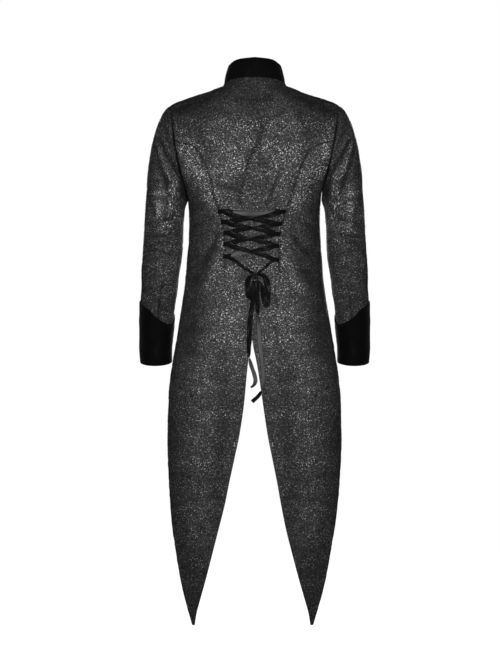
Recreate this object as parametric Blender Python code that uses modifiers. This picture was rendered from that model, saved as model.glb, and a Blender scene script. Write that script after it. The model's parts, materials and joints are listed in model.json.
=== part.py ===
"""A tailcoat that keeps the form it has when worn: brocade, velvet collar and cuffs, a laced back.

The origin lies midway between the two neck points, where the coat hangs on the shoulders.
Z is up, the coat faces -Y, and the wearer's left is +X. The tables are in millimetres.
A panel is worked out on the left side and mirrored for the right side.
"""

import math

import bmesh
import bpy
import numpy as np
from mathutils import Vector

MM = 0.001

# Driving dimensions, in millimetres
CLOTH = 2.2  # brocade with its backing
VELVET = 2.6  # collar and cuffs
SEAM = 0.34  # gap between pieces at a seam
OVERLAP_GAP = 1.3  # between the two fronts where they overlap
OVERLAP_END, OVERLAP_RAMP = 44.0, 18.0  # the left front is raised inside this distance, over this width
RIBBON_WIDTH = 9.6
RIBBON_THICK = 0.7
BUTTON_RADIUS = 9.0

NECK_HALF_WIDTH = 75.5
NECK_BACK, NECK_FRONT = 58.0, 62.0  # depth of the neck ring behind and before the origin
NECK_STEEPNESS = 40.0  # degrees from level at which the cloth leaves the collar at the centre
NECK_EDGE_ANGLE = 195.4  # where a front's neck edge ends, past the centre front
BACK_YOKE_LEVEL, FRONT_YOKE_LEVEL = -138.0, -180.0  # where the shoulder slope ends
UNDERARM = -285.0
FRONT_END = -815.0  # the front ends here in a point at the side seam
ROUNDNESS = 2.35  # exponent of the body's sections, 2 for an ellipse
NECK_FULLNESS, SHOULDER_FULLNESS = 1.6, 2.0  # exponents of the slope below the neck and the shoulder
BACK_NECK_SHARE, FRONT_NECK_SHARE = 0.40, 0.45  # of a panel's width, taken by its neck edge
STEEP_REACH, FULL_REACH = 0.3, 0.6  # shares of a panel's width over which the slope changes along its top
CORNER_GAP = 0.8  # at the side back's corner, where three seams meet
NORMAL_STEP = (0.004, 0.04)  # the small steps across and down that a panel's normals are worked out over
WELD = 1e-6  # metres
SHARP_ANGLE = 50  # degrees, from which an edge is shaded as sharp

# Sections of the body: height, half width, depth behind, depth before
BODY = [
    (-100, 226, 114, -99),
    (-138, 218.5, 117, -109),
    (-180, 206, 116.5, -116),
    (-210, 196, 114.5, -118),
    (-240, 184, 112, -118),
    (-260, 175, 110, -117),
    (-274, 168, 108, -116),
    (-285, 162.5, 106, -115),
    (-300, 161, 103, -112.5),
    (-330, 160.5, 98, -107),
    (-367, 161, 92.5, -101),
    (-390, 162, 90.5, -98.5),
    (-412, 163.5, 91.5, -97.5),
    (-470, 168, 101, -100),
    (-529, 176, 114, -104),
    (-588, 185.5, 124, -107),
    (-647, 195, 131, -110),
    (-706, 205, 136, -112),
    (-764, 210, 140, -113),
    (-823, 212, 144, -114),
    (-1000, 212, 153, -114),
    (-1330, 212, 163, -114),
]

# The neck seam: angle from the centre back, height
NECK = [(0, 13.5), (36, 11.5), (60, 7), (90, 0), (120, -22), (150, -52), (172, -68), (196, -66)]

# The shoulder seam: distance from the centre, height, depth
SHOULDER = [(75.5, 0, 0), (114, -15, 0), (154, -28.5, 1), (190, -41, 2), (207, -49.5, 3)]

# The armhole seam, behind and before: height, distance from the centre
ARMHOLE_BACK = [(-138, 194.5), (-160, 190), (-187, 185), (-217, 178), (-245, 171), (-262, 167),
                (-275, 164.5), (-285, 162.5)]
ARMHOLE_FRONT = [(-180, 178), (-210, 172), (-240, 168), (-262, 165), (-275, 163.5), (-285, 162.5)]

# The princess seam: height, distance from the centre back seam
PRINCESS = [(-138, 194.5), (-143, 180), (-150, 158), (-161, 138), (-180, 126), (-211, 111),
            (-243, 100.5), (-276, 92), (-311, 81), (-344, 71.5), (-370, 67), (-404, 65.5),
            (-429, 65.5), (-510, 71), (-620, 88), (-750, 106), (-900, 122), (-1050, 134),
            (-1200, 141), (-1300, 141.4)]

# The edge of the open vent: height, distance from the centre
VENT = [(-622, 0), (-640, 3), (-670, 9), (-703, 14), (-759, 20.5), (-845, 33), (-901, 44.5),
        (-958, 56.5), (-1015, 67.5), (-1072, 80.5), (-1129, 95), (-1186, 110), (-1244, 126.5),
        (-1274, 134.5), (-1300, 138.5)]

# The side seam and then the tail's front edge: height, angle from the centre back
SIDE = [(-285, 90), (-330, 95), (-815, 95), (-882, 86), (-950, 78), (-1020, 71.4), (-1065, 67),
        (-1110, 61.3), (-1155, 56.7), (-1200, 52), (-1245, 46.5), (-1275, 42.5), (-1300, 39.5)]

# The front edge from the neck through the cutaway: height at the side seam, angle, height
FRONT_EDGE = [(-180, 184, -180), (-285, 184, -312), (-420, 181, -440), (-450, 173, -463),
              (-485, 151, -500), (-525, 134, -543), (-570, 122.5, -588), (-620, 114.5, -638),
              (-675, 108, -690), (-730, 103, -742), (-780, 99, -786), (-815, 95.8, -817)]

# How far the centre line leans to the wearer's left: height, shift
LEAN = [(-100, 0), (-150, 2.7), (-300, 5), (-400, 7), (-630, 6.5), (-800, 3), (-900, 3.5),
        (-1000, 4.5), (-1090, 6.5), (-1300, 6.5)]

# Rows of the panels below the fan of the princess seam, at the side seam and down the tails
LEVELS = [-300, -330, -360, -390, -420, -450, -485, -525, -570, -620, -675, -730, -780, -815,
          -880, -950, -1020, -1090, -1155, -1215, -1262, -1300]
YOKE_ROWS = 5
FAN_ROWS = 9  # rows that turn from the armhole corner to level
FAN_CURVE = 1.5  # more than 1 keeps the fan's rows close together at the armhole corner
BACK_ARM_ROWS, FRONT_ARM_ROWS = 8, 6

# Sections of the sleeve: height, centre x, half width, centre y, half depth, tilt in degrees
SLEEVE = [
    (-300, 219, 48.4, 2, 65, 0),
    (-330, 221.3, 48, 2, 64, 0),
    (-367, 223.5, 47.8, 1, 62, 1),
    (-412, 226, 48, -2, 60.5, 3),
    (-456, 230.5, 46.5, -7, 58, 6),
    (-500, 234.3, 44.3, -15, 55, 9),
    (-529, 238, 42.5, -21, 53, 10),
    (-559, 240, 41, -27, 51.5, 11),
    (-588, 241.5, 40.6, -33, 50, 11),
    (-617, 243.3, 39.3, -38.5, 49, 11),
    (-647, 245, 38, -44.5, 48, 11),
    (-677, 244.5, 36.5, -50, 47, 11),
]
SLEEVE_ROWS = [-330, -350, -372, -398, -428, -460, -494, -530, -568, -608, -640, -668]
CAP_ROWS = 7
CAP_FULLNESS, CAP_HANG = 0.64, 0.95  # how far the head runs out from the armhole and up from the arm
CAP_TIP_WAY = (0.83, 0.30, 0.56)  # the way it leaves the armhole at the tip: out, back and down
CAP_SIDE_WAY = (0.45, 0.30, 0.84)  # and behind and before the arm
HIND_SEAM, FORE_SEAM = 97, -112  # angles round the sleeve from its outer side, back positive
SLEEVE_FACE, BODY_FACE = 30.0, 40.0  # depth over which folds fade out towards the sides

CUFF_END = -677
CUFF_CLEAR = 0.45  # between the sleeve and the cuff round it
CUFF_ROWS = 4

# The cuff's top edge: angle round the sleeve, height before the sleeve's tilt
CUFF_TOP = [(-180, -567), (-130, -550), (-90, -537), (-60, -530), (-20, -526), (0, -527), (61, -537.5),
            (90, -557), (115, -569), (145, -577.5), (165, -574), (180, -567)]

# The collar: angle from the centre back, height of the stand, lean inwards, shift forwards
COLLAR = [(0, 52, 2, 5), (26, 51, 3, 5), (45, 50, 6, 5), (65, 47, 8, 5), (90, 44, 9.5, 5),
          (120, 42, 7, 7), (150, 40, 3, 9), (160, 36, 2, 9), (168, 27, 1, 9), (172, 17, 1, 7)]
COLLAR_ROWS = 4
COLLAR_BULGE = 1.6
CORNER_CLEAR = 1.5  # the collar's front ends clear the overlapped fronts by this much more

# The largest folds: face, start x, start z, end x, end z, half width, depth (less than 0 is a ridge)
FOLDS = [
    ("back", -72, -62, -10, -125, 16, 2.5),
    ("back", -10, -125, 16, -250, 15, 2.5),
    ("back", -62, -205, -34, -275, 15, 2.5),
    ("back", 98, -250, 66, -258, 14, 2.5),
    ("back", 86, -378, 120, -430, 15, 3.5),
    ("back", -90, -378, -122, -408, 15, 3.5),
    ("back", 96, -330, 140, -345, 15, 2.0),
    ("back", -96, -334, -140, -350, 15, 2.0),
    ("back", 120, -700, 128, -1100, 34, -5.0),
    ("back", -120, -690, -128, -1080, 34, -5.0),
    ("front", 60, -330, 110, -400, 16, 3.0),
    ("front", -60, -322, -112, -395, 16, 3.0),
    ("front", 120, -215, 78, -262, 15, 2.5),
    ("front", -118, -210, -80, -255, 15, 2.5),
    ("sleeve", 229, -150, 191, -222, 14, 3.5),
    ("sleeve", 252, -186, 206, -290, 14, 3.5),
    ("sleeve", 214, -360, 262, -378, 13, 2.5),
    ("sleeve", 206, -415, 250, -405, 13, 2.0),
    ("bend", 200, -345, 250, -362, 13, 3.0),
    ("bend", 196, -392, 252, -398, 13, 3.5),
    ("bend", 204, -448, 262, -436, 13, 2.5),
]

# Lacing loops from the top: left and right height, left and right distance from the centre back seam
LOOPS = [(-313, -314, 71, 65.5), (-338.5, -343, 62.5, 58), (-364.5, -367, 56, 54.5),
         (-391, -396, 56.5, 52), (-422, -430, 56, 52.5)]
LOW, HIGH = 1.3, 2.45  # heights of the two layers of ribbon above the cloth
LAYER = 1.15  # from one layer to the next
LOOP_WIDTH, LOOP_THICK = 8.5, 1.2
# A loop's line, from its stitched end: distance outwards from its place, height above the cloth
LOOP_LINE = [(12.5, 1.5), (9.0, 1.6), (6.0, 2.6), (3.0, HIGH + 1.35), (0.0, HIGH + 1.45),
             (-4.0, HIGH + 1.35)]
# A crossing ribbon changes its layer between these shares of its way, and back again at its other end
CHANGE_FROM, CHANGE_TO = 0.20, 0.275
CROSSING_SHARES = [0, 0.10, CHANGE_FROM, CHANGE_TO, 0.39, 0.5, 0.61, 1 - CHANGE_TO, 1 - CHANGE_FROM, 0.90, 1]
BAR_SAG, BAR_RISE = 6.0, 1.0  # how far the bar hangs, and how far it starts above its loops

# The knot, and how the two ends reach it: share of the way, height or width
KNOT_AT = (-1.0, -471.0)
KNOT_HALF = (6.6, 3.6, 6.8)  # half its width, depth and height
KNOT_HEIGHT = 4.4
KNOT_POWER = 0.85  # less than 1 squares it a little
END_SPREAD, END_RISE = 4.5, 8.4  # where the ends stop beside and above the knot's middle
END_HEIGHTS = [(0, HIGH), (0.2, HIGH), (1, KNOT_HEIGHT)]
END_WIDTHS = [(0, RIBBON_WIDTH), (0.3, 7.5), (1, 5.0)]

# The bow and the free ends: x, z, clearance above the cloth, turn of the ribbon in degrees
BOW_LEFT = [(6.4, -470, 2.2, 70), (15, -474, 2.6, 62), (21.5, -490, 3.0, 55), (19, -510, 3.0, 50),
            (12, -524, 3.0, 50), (7.0, -516, 3.0, 55), (8.5, -502, 3.0, 62), (9.0, -490, 2.8, 70),
            (6.4, -480.5, 2.4, 76)]
BOW_RIGHT = [(-8.6, -467, 2.2, -70), (-20, -468, 2.6, -62), (-31, -479, 3.0, -55),
             (-35, -505, 3.0, -50), (-33, -532, 3.0, -50), (-27.5, -545, 3.0, -50),
             (-21.5, -531, 3.0, -55), (-20, -508, 3.0, -62), (-15, -488, 2.8, -70),
             (-8.8, -479.5, 2.4, -76)]
FREE_LEFT = [(1.8, -480.5, 1.3, 0), (2, -500, 1.1, 0), (5, -530, 1.1, 0), (11, -575, 1.2, 0),
             (13.6, -622, 1.6, 15), (11.3, -657, 2.2, 60), (4, -683, 2.4, 120),
             (-0.7, -700, 2.6, 175), (-2, -718, 2.8, 185), (3, -729, 3.0, 215), (10, -734, 3.0, 240)]
FREE_RIGHT = [(-5.4, -480.5, 2.5, 0), (-5.6, -505, 2.3, 0), (-6, -530, 2.2, 0), (-6.7, -560, 1.6, 60),
              (-8.5, -585, 1.6, 130), (-12, -630, 2.0, 170), (-17, -680, 2.4, 180),
              (-19.9, -713, 2.8, 180), (-17.5, -735, 3.0, 210), (-12, -750, 3.0, 330),
              (6.5, -769, 3.0, 355)]

BROCADE_COLOUR = (0.035, 0.035, 0.037, 1)
VELVET_COLOUR = (0.006, 0.006, 0.007, 1)
BUTTON_COLOUR = (0.02, 0.02, 0.02, 1)

BUTTON_HEIGHTS = [-112, -192, -272, -350, -424]
BUTTON_CLEAR = 0.4
# A button's profile from its middle: radius, height
BUTTON = [(0, 6.0), (4.2, 5.5), (7.4, 4.2), (BUTTON_RADIUS, 2.3), (8.6, 0.9), (6.5, 0), (0, 0)]
BUTTON_STEPS = 14

# Columns of the panels at the neck, at the shoulder and across the side back
BACK_NECK_COLUMNS, FRONT_NECK_COLUMNS, SHOULDER_COLUMNS, SIDE_COLUMNS = 6, 7, 5, 6


def curve(table, column=1):
    """A function that reads a column of a table between its rows, without overshooting them."""
    rows = sorted(table)
    at = np.array([row[0] for row in rows], float)
    value = np.array([row[column] for row in rows], float)
    rise = np.diff(value) / np.diff(at)
    slope = np.concatenate([[rise[0]], np.zeros(len(at) - 2), [rise[-1]]])
    same = rise[:-1] * rise[1:] > 0
    both = np.where(same, rise[:-1] + rise[1:], 1)
    slope[1:-1] = np.where(same, 2 * rise[:-1] * rise[1:] / both, 0)

    def read(place):
        place = np.clip(place, at[0], at[-1])
        i = np.clip(np.searchsorted(at, place) - 1, 0, len(at) - 2)
        step = at[i + 1] - at[i]
        t = (place - at[i]) / step
        start = value[i] * (1 + 2 * t) * (1 - t) ** 2 + slope[i] * step * t * (1 - t) ** 2
        end = value[i + 1] * t * t * (3 - 2 * t) - slope[i + 1] * step * t * t * (1 - t)
        return start + end

    return read


half_width, depth_behind, depth_before = curve(BODY, 1), curve(BODY, 2), curve(BODY, 3)
neck_height = curve(NECK)
shoulder_height, shoulder_depth = curve(SHOULDER, 1), curve(SHOULDER, 2)
armhole_back, armhole_front = curve(ARMHOLE_BACK), curve(ARMHOLE_FRONT)
princess, vent, side_angle, lean = curve(PRINCESS), curve(VENT), curve(SIDE), curve(LEAN)
edge_angle, edge_height = curve(FRONT_EDGE, 1), curve(FRONT_EDGE, 2)
cuff_top = curve(CUFF_TOP)
sleeve_x, sleeve_w, sleeve_y, sleeve_d, sleeve_tilt = [curve(SLEEVE, k) for k in range(1, 6)]
collar_stand, collar_lean, collar_shift = [curve(COLLAR, k) for k in range(1, 4)]


def point(x, y, z):
    return np.stack(np.broadcast_arrays(x, y, z), axis=-1).astype(float)


def unit(v):
    return v / np.maximum(np.linalg.norm(v, axis=-1, keepdims=True), 1e-12)


def smoothstep(t):
    t = np.clip(t, 0, 1)
    return t * t * (3 - 2 * t)


def angle_of(x, z):
    """The section angle, from the centre back, of a place at a distance from the centre line."""
    share = np.clip(x / half_width(z), 0, 1)
    return np.arcsin(share ** (ROUNDNESS / 2))


def section(angle, z):
    """A point on the body's outer face at an angle from the centre back."""
    s, c = np.sin(angle), np.cos(angle)
    x = half_width(z) * np.sign(s) * np.abs(s) ** (2 / ROUNDNESS)
    depth = np.where(c > 0, depth_behind(z), depth_before(z))
    return point(x, depth * np.abs(c) ** (2 / ROUNDNESS), z)


def neck(degrees):
    """A point on the neck seam."""
    a = np.radians(degrees)
    depth = np.where(np.cos(a) > 0, NECK_BACK, NECK_FRONT)
    return point(NECK_HALF_WIDTH * np.sin(a), depth * np.cos(a), neck_height(degrees))


def shoulder(share):
    """A point on the shoulder seam, from the neck point to the shoulder tip."""
    x = NECK_HALF_WIDTH + share * (SHOULDER[-1][0] - NECK_HALF_WIDTH)
    return point(x, shoulder_depth(x), shoulder_height(x))


def slope(top, foot, share, exponent, start):
    """The rounded slope from a panel's top edge to the section where its yoke ends."""
    start = np.radians(start)
    turn = np.clip(start + share * (math.pi / 2 - start), 0, math.pi / 2)
    power = 2 / exponent
    fall = 1 - (np.cos(turn) / np.cos(start)) ** power
    out = (np.sin(turn) ** power - np.sin(start) ** power) / (1 - np.sin(start) ** power)
    path = top + (foot - top) * fall[..., None]
    path[..., 1] = top[..., 1] + (foot[..., 1] - top[..., 1]) * out
    return path


def steepness(inside):
    """How steeply the slope starts: most at the centre, level from the neck point out."""
    return NECK_STEEPNESS * smoothstep(inside / STEEP_REACH)


def fullness(u):
    return NECK_FULLNESS + (SHOULDER_FULLNESS - NECK_FULLNESS) * smoothstep(u / FULL_REACH)


def back_yoke(u, row):
    share = (u - BACK_NECK_SHARE) / (1 - BACK_NECK_SHARE)
    top = np.where((share < 0)[..., None], neck(90 * u / BACK_NECK_SHARE), shoulder(np.clip(share, 0, 1)))
    foot = section(u * angle_of(armhole_back(BACK_YOKE_LEVEL), BACK_YOKE_LEVEL), BACK_YOKE_LEVEL)
    return slope(top, foot, row / YOKE_ROWS, fullness(u), steepness(BACK_NECK_SHARE - u))


def front_yoke(u, row):
    share = (u - FRONT_NECK_SHARE) / (1 - FRONT_NECK_SHARE)
    degrees = NECK_EDGE_ANGLE + (90 - NECK_EDGE_ANGLE) * u / FRONT_NECK_SHARE
    top = np.where((share < 0)[..., None], neck(degrees), shoulder(np.clip(share, 0, 1)))
    level = FRONT_YOKE_LEVEL
    last = math.pi - angle_of(armhole_front(level), level)
    first = math.radians(FRONT_EDGE[0][1])
    foot = section(first + (last - first) * u, level)
    return slope(top, foot, row / YOKE_ROWS, fullness(u), steepness(FRONT_NECK_SHARE - u))


def level_of(row):
    return np.interp(row, range(len(LEVELS)), LEVELS)


def fan(row, power):
    """A height in the fan of rows, and then the level rows."""
    share = np.clip(row / FAN_ROWS, 0, 1)
    height = BACK_YOKE_LEVEL + (LEVELS[0] - BACK_YOKE_LEVEL) * share ** power
    return np.where(row < FAN_ROWS, height, level_of(row - FAN_ROWS))


def back_side_height(row):
    """The height of a row's end at the armhole and the side seam."""
    fall = BACK_YOKE_LEVEL + (UNDERARM - BACK_YOKE_LEVEL) * row / BACK_ARM_ROWS
    below = UNDERARM + (LEVELS[0] - UNDERARM) * (row - BACK_ARM_ROWS)
    return np.where(row < BACK_ARM_ROWS, fall, np.where(row < FAN_ROWS, below, fan(row, 1)))


def back_side_angle(z):
    arm = angle_of(armhole_back(z), z)
    return np.where(z > UNDERARM, arm, np.radians(side_angle(z)))


def centre_back(u, row):
    """A point on the centre back panel: u runs from the centre to the side, row from the top down."""
    low = row - YOKE_ROWS
    z0, z1 = fan(low, 1), fan(low, FAN_CURVE)
    a0 = angle_of(vent(z0), z0)
    a1 = angle_of(princess(z1), z1)
    below = section(a0 + (a1 - a0) * u, z0 + (z1 - z0) * u)
    return np.where((row < YOKE_ROWS)[..., None], back_yoke(u, row), below)


def side_back(u, row):
    """A point on the side back panel, whose rows start at the corner on the armhole."""
    z0, z1 = fan(row, FAN_CURVE), back_side_height(row)
    a0, a1 = angle_of(princess(z0), z0), back_side_angle(z1)
    return section(a0 + (a1 - a0) * u, z0 + (z1 - z0) * u)


def front_side_height(row):
    fall = FRONT_YOKE_LEVEL + (UNDERARM - FRONT_YOKE_LEVEL) * row / FRONT_ARM_ROWS
    return np.where(row < FRONT_ARM_ROWS, fall, np.interp(row - FRONT_ARM_ROWS, range(len(LEVELS) + 1),
                                                          [UNDERARM] + LEVELS))


def front(u, row):
    """A point on a front: u runs from the front edge to the side."""
    low = row - YOKE_ROWS
    z1 = front_side_height(low)
    a0, z0 = np.radians(edge_angle(z1)), edge_height(z1)
    arm = math.pi - angle_of(armhole_front(z1), z1)
    a1 = np.where(z1 > UNDERARM, arm, np.radians(side_angle(z1)))
    below = section(a0 + (a1 - a0) * u, z0 + (z1 - z0) * u)
    return np.where((row < YOKE_ROWS)[..., None], front_yoke(u, row), below)


def normals(surface, u, row, ends):
    """Unit normals of a surface, by small steps that stay inside its rows."""
    step_u, step_row = NORMAL_STEP
    low, high = np.clip(row - step_row, 0, ends), np.clip(row + step_row, 0, ends)
    along = surface(np.clip(u + step_u, 0, 1), row) - surface(np.clip(u - step_u, 0, 1), row)
    down = surface(u, high) - surface(u, low)
    out = np.cross(down, along) if surface is front else np.cross(along, down)
    return unit(out)


def swayed(points, side):
    """Panel points on their own side of the coat, with the centre line's lean."""
    x, y, z = points[..., 0], points[..., 1], points[..., 2]
    share = np.clip(y / depth_behind(z), 0, 1)
    return point(side * x + lean(z) * share * (z < LEAN[0][0]), y, z)


def fold_depth(faces, x, z):
    """How far the folds on a face push the cloth in at a place seen square on."""
    total = np.zeros(np.shape(x))
    for face, x0, z0, x1, z1, width, depth in FOLDS:
        if face not in faces:
            continue
        run = np.array([x1 - x0, z1 - z0])
        t = ((x - x0) * run[0] + (z - z0) * run[1]) / (run @ run)
        near = np.clip(t, 0, 1)
        away = (x - x0 - near * run[0]) ** 2 + (z - z0 - near * run[1]) ** 2
        total = total + depth * np.exp(-away / width ** 2)
    return total


def folded_body(points, out):
    """Push a panel's points in or out by the folds of the back and the front."""
    face = smoothstep(np.abs(points[..., 1]) / BODY_FACE)
    behind = fold_depth(("back",), points[..., 0], points[..., 2])
    before = fold_depth(("front",), points[..., 0], points[..., 2])
    push = face * np.where(points[..., 1] > 0, behind, before)
    return points - out * push[..., None]


def wall(name, outer, inner, material, closed=False):
    """A closed body between an outer and an inner grid of points, in rows and columns."""
    rows, columns = outer.shape[:2]
    mesh = bmesh.new()
    skins = [[[mesh.verts.new(p * MM) for p in row] for row in grid] for grid in (outer, inner)]
    last = columns if closed else columns - 1
    for r in range(rows - 1):
        for c in range(last):
            d = (c + 1) % columns
            for skin, order in zip(skins, (1, -1), strict=True):
                quad = [skin[r][c], skin[r + 1][c], skin[r + 1][d], skin[r][d]]
                mesh.faces.new([quad[0]] + quad[1:][::order])
    for r, order in ((0, 1), (rows - 1, -1)):
        for c in range(last):
            d = (c + 1) % columns
            quad = [skins[0][r][c], skins[0][r][d], skins[1][r][d], skins[1][r][c]]
            mesh.faces.new(quad[::order])
    if not closed:
        for c, order in ((0, -1), (columns - 1, 1)):
            for r in range(rows - 1):
                quad = [skins[0][r][c], skins[0][r + 1][c], skins[1][r + 1][c], skins[1][r][c]]
                mesh.faces.new(quad[::order])
    bmesh.ops.remove_doubles(mesh, verts=mesh.verts, dist=WELD)
    return finish(name, mesh, material)


def finish(name, mesh, material):
    mesh.normal_update()
    bmesh.ops.recalc_face_normals(mesh, faces=mesh.faces)
    data = bpy.data.meshes.new(name)
    mesh.to_mesh(data)
    mesh.free()
    data.materials.append(material)
    piece = bpy.data.objects.new(name, data)
    coat.objects.link(piece)
    data.shade_smooth()
    data.set_sharp_from_angle(angle=math.radians(SHARP_ANGLE))
    return piece


def opened(grid, edges):
    """The shifts that open a seam gap along the named edges of a grid: top, first, last."""
    shift = np.zeros_like(grid)
    places = {"top": (np.s_[0, :], np.s_[1, :]), "first": (np.s_[:, 0], np.s_[:, 1]),
              "last": (np.s_[:, -1], np.s_[:, -2])}
    for edge in edges:
        here, there = places[edge]
        seam = unit(np.gradient(grid[here], axis=0))
        away = grid[there] - grid[here]
        away = away - seam * (away * seam).sum(-1, keepdims=True)
        length = np.linalg.norm(away, axis=-1, keepdims=True)
        shift[here] += np.where(length > 0.01, unit(away) * SEAM / 2, 0)
    return shift


def panel(name, surface, across, rows, side, material, seams, edge_normals=None, lift=None, corner=False):
    """A body panel as a wall, with its seam gaps and folds."""
    u, row = np.meshgrid(across, rows)
    base = surface(u, row)
    out = normals(surface, u, row, rows[-1])
    if corner:
        out[0] = normals(surface, u[1], row[1], rows[-1]).mean(axis=0)
        out = unit(out)
    if edge_normals is not None:
        first, count = edge_normals[0], len(edge_normals[1])
        out[first:first + count, -1] = edge_normals[1]
    shift = opened(base, seams)
    if corner:
        shift[0] = unit(base[1].mean(axis=0) - base[0, 0]) * CORNER_GAP
    if lift is not None:
        base = base + out * lift(base)[..., None]
    out[..., 0] *= side
    shift[..., 0] *= side
    outer = folded_body(swayed(base, side), out) + shift
    return wall(name, outer, outer - out * CLOTH, material)


def armhole():
    """The armhole seam's points from the shoulder tip: down the back, and down the front."""
    back = [back_yoke(np.array(1.0), np.array(float(r))) for r in range(YOKE_ROWS + 1)]
    for r in range(1, BACK_ARM_ROWS + 1):
        z = back_side_height(np.array(float(r)))
        back.append(section(back_side_angle(z + 1e-6), z))
    before = [front_yoke(np.array(1.0), np.array(float(r))) for r in range(YOKE_ROWS + 1)]
    for r in range(1, FRONT_ARM_ROWS + 1):
        z = front_side_height(np.array(float(r)))
        before.append(section(math.pi - angle_of(armhole_front(z), z), z))
    return np.array(back), np.array(before)


def round_angles(line):
    """Angles from 0 at the shoulder tip to 180 degrees at the underarm, by length along the seam."""
    along = np.concatenate([[0], np.cumsum(np.linalg.norm(np.diff(line, axis=0), axis=1))])
    return math.pi * along / along[-1]


def sleeve_section(angle, z, grow=0.0):
    """A point on the sleeve: the angle is 0 at its outer side and 90 degrees at its back."""
    tilt = np.radians(sleeve_tilt(z))
    deep = (sleeve_d(z) + grow) * np.sin(angle)
    x = sleeve_x(z) + (sleeve_w(z) + grow) * np.cos(angle)
    return point(x, sleeve_y(z) + deep * np.cos(tilt), z - deep * np.sin(tilt))


def sleeve_cap(start, angle, t):
    """The sleeve head, from the armhole seam down to the first level section."""
    foot = sleeve_section(angle, SLEEVE_ROWS[0])
    down = unit(sleeve_section(angle, SLEEVE_ROWS[0] - 5.0) - foot)
    tip = np.cos(angle) ** 2
    out, back, fall = [b + (a - b) * tip for a, b in zip(CAP_TIP_WAY, CAP_SIDE_WAY, strict=True)]
    away = unit(point(out, back * np.sin(angle), -fall))
    reach = np.linalg.norm(foot - start, axis=-1, keepdims=True)
    t = t[..., None]
    return (start * (1 + 2 * t) * (1 - t) ** 2 + away * reach * CAP_FULLNESS * t * (1 - t) ** 2
            + foot * t * t * (3 - 2 * t) - down * reach * CAP_HANG * t * t * (1 - t))


def sleeve_grid(start, angle):
    """The sleeve's points: rows from the armhole to the hand, columns round it."""
    cap = [sleeve_cap(start, angle, np.full(len(angle), r / CAP_ROWS)) for r in range(CAP_ROWS)]
    tube = [sleeve_section(angle, np.full(len(angle), float(z))) for z in SLEEVE_ROWS]
    return np.array(cap + tube)


def grid_normals(grid):
    """Normals of a closed grid of points from its own rows and columns."""
    around = np.roll(grid, -1, axis=1) - np.roll(grid, 1, axis=1)
    down = np.gradient(grid, axis=0)
    return unit(np.cross(down, around))


def armhole_normals(panel_out, sleeve_out):
    """Shared normals where the seam is convex, and each piece's own where the cloth folds in."""
    near = np.sqrt(np.clip((panel_out * sleeve_out).sum(-1, keepdims=True), 0, 1))
    return unit(panel_out + near * sleeve_out), unit(sleeve_out + near * panel_out)


def folded_sleeve(points, out):
    """Push a sleeve's points in by its creases: those seen from behind, and those at the bend."""
    middle = sleeve_y(np.clip(points[..., 2], SLEEVE[-1][0], SLEEVE[0][0]))
    behind = fold_depth(("sleeve",), points[..., 0], points[..., 2])
    bend = fold_depth(("sleeve", "bend"), points[..., 0], points[..., 2])
    face = smoothstep(np.abs(points[..., 1] - middle) / SLEEVE_FACE)
    push = face * np.where(points[..., 1] > middle, behind, bend)
    return points - out * push[..., None]


def sleeves(side, word, brocade):
    """Both pieces of a sleeve, and the normals that the panels share with it at the armhole."""
    back, before = armhole()
    ring = np.concatenate([before[:0:-1], back[:-1]])
    angle = np.concatenate([-round_angles(before)[:0:-1], round_angles(back)[:-1]])
    start = swayed(ring, side)
    start[..., 0] *= side
    grid = sleeve_grid(start, angle)
    out = grid_normals(grid)
    tip = len(before) - 1

    back_rows = np.arange(0.0, len(back))
    back_out = np.array([
        normals(centre_back, np.array(1.0), np.array(r), YOKE_ROWS) if r <= YOKE_ROWS
        else normals(side_back, np.array(1.0), np.array(r - YOKE_ROWS), FAN_ROWS) for r in back_rows])
    front_out = np.array([
        normals(front, np.array(1.0), np.array(float(r)), YOKE_ROWS + FRONT_ARM_ROWS)
        for r in range(len(before))])
    sleeve_back = np.concatenate([out[0, tip:], out[0, :1]])
    sleeve_before = out[0, tip::-1]
    back_shared, sleeve_back = armhole_normals(back_out, sleeve_back)
    front_shared, sleeve_before = armhole_normals(front_out, sleeve_before)
    out[0] = np.concatenate([sleeve_before[:0:-1], sleeve_back[:-1]])
    grid = folded_sleeve(grid, out)

    hind = int(np.argmin(np.abs(angle - math.radians(HIND_SEAM))))
    fore = int(np.argmin(np.abs(angle - math.radians(FORE_SEAM))))
    upper = np.arange(fore, hind + 1)
    under = np.concatenate([np.arange(hind, len(angle)), np.arange(0, fore + 1)])
    for name, columns in (("sleeve_upper_", upper), ("sleeve_under_", under)):
        outer, way = grid[:, columns].copy(), out[:, columns].copy()
        outer += opened(outer, ("top", "first", "last"))
        outer[..., 0] *= side
        way[..., 0] *= side
        wall(name + word, outer, outer - way * CLOTH, brocade)
    return back_shared, front_shared, angle


def cuff(side, word, angle, velvet):
    """A velvet cuff round the sleeve's end, higher on the outer and front side."""
    top = cuff_top(np.degrees(angle))
    share = np.linspace(0, 1, CUFF_ROWS + 1)[:, None]
    z = top + (CUFF_END - top) * share
    around = np.broadcast_to(angle, z.shape)
    inner = sleeve_section(around, z, CUFF_CLEAR)
    outer = sleeve_section(around, z, CUFF_CLEAR + VELVET)
    for grid in (inner, outer):
        grid[..., 0] *= side
    wall("cuff_" + word, outer, inner, velvet, closed=True)


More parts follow.
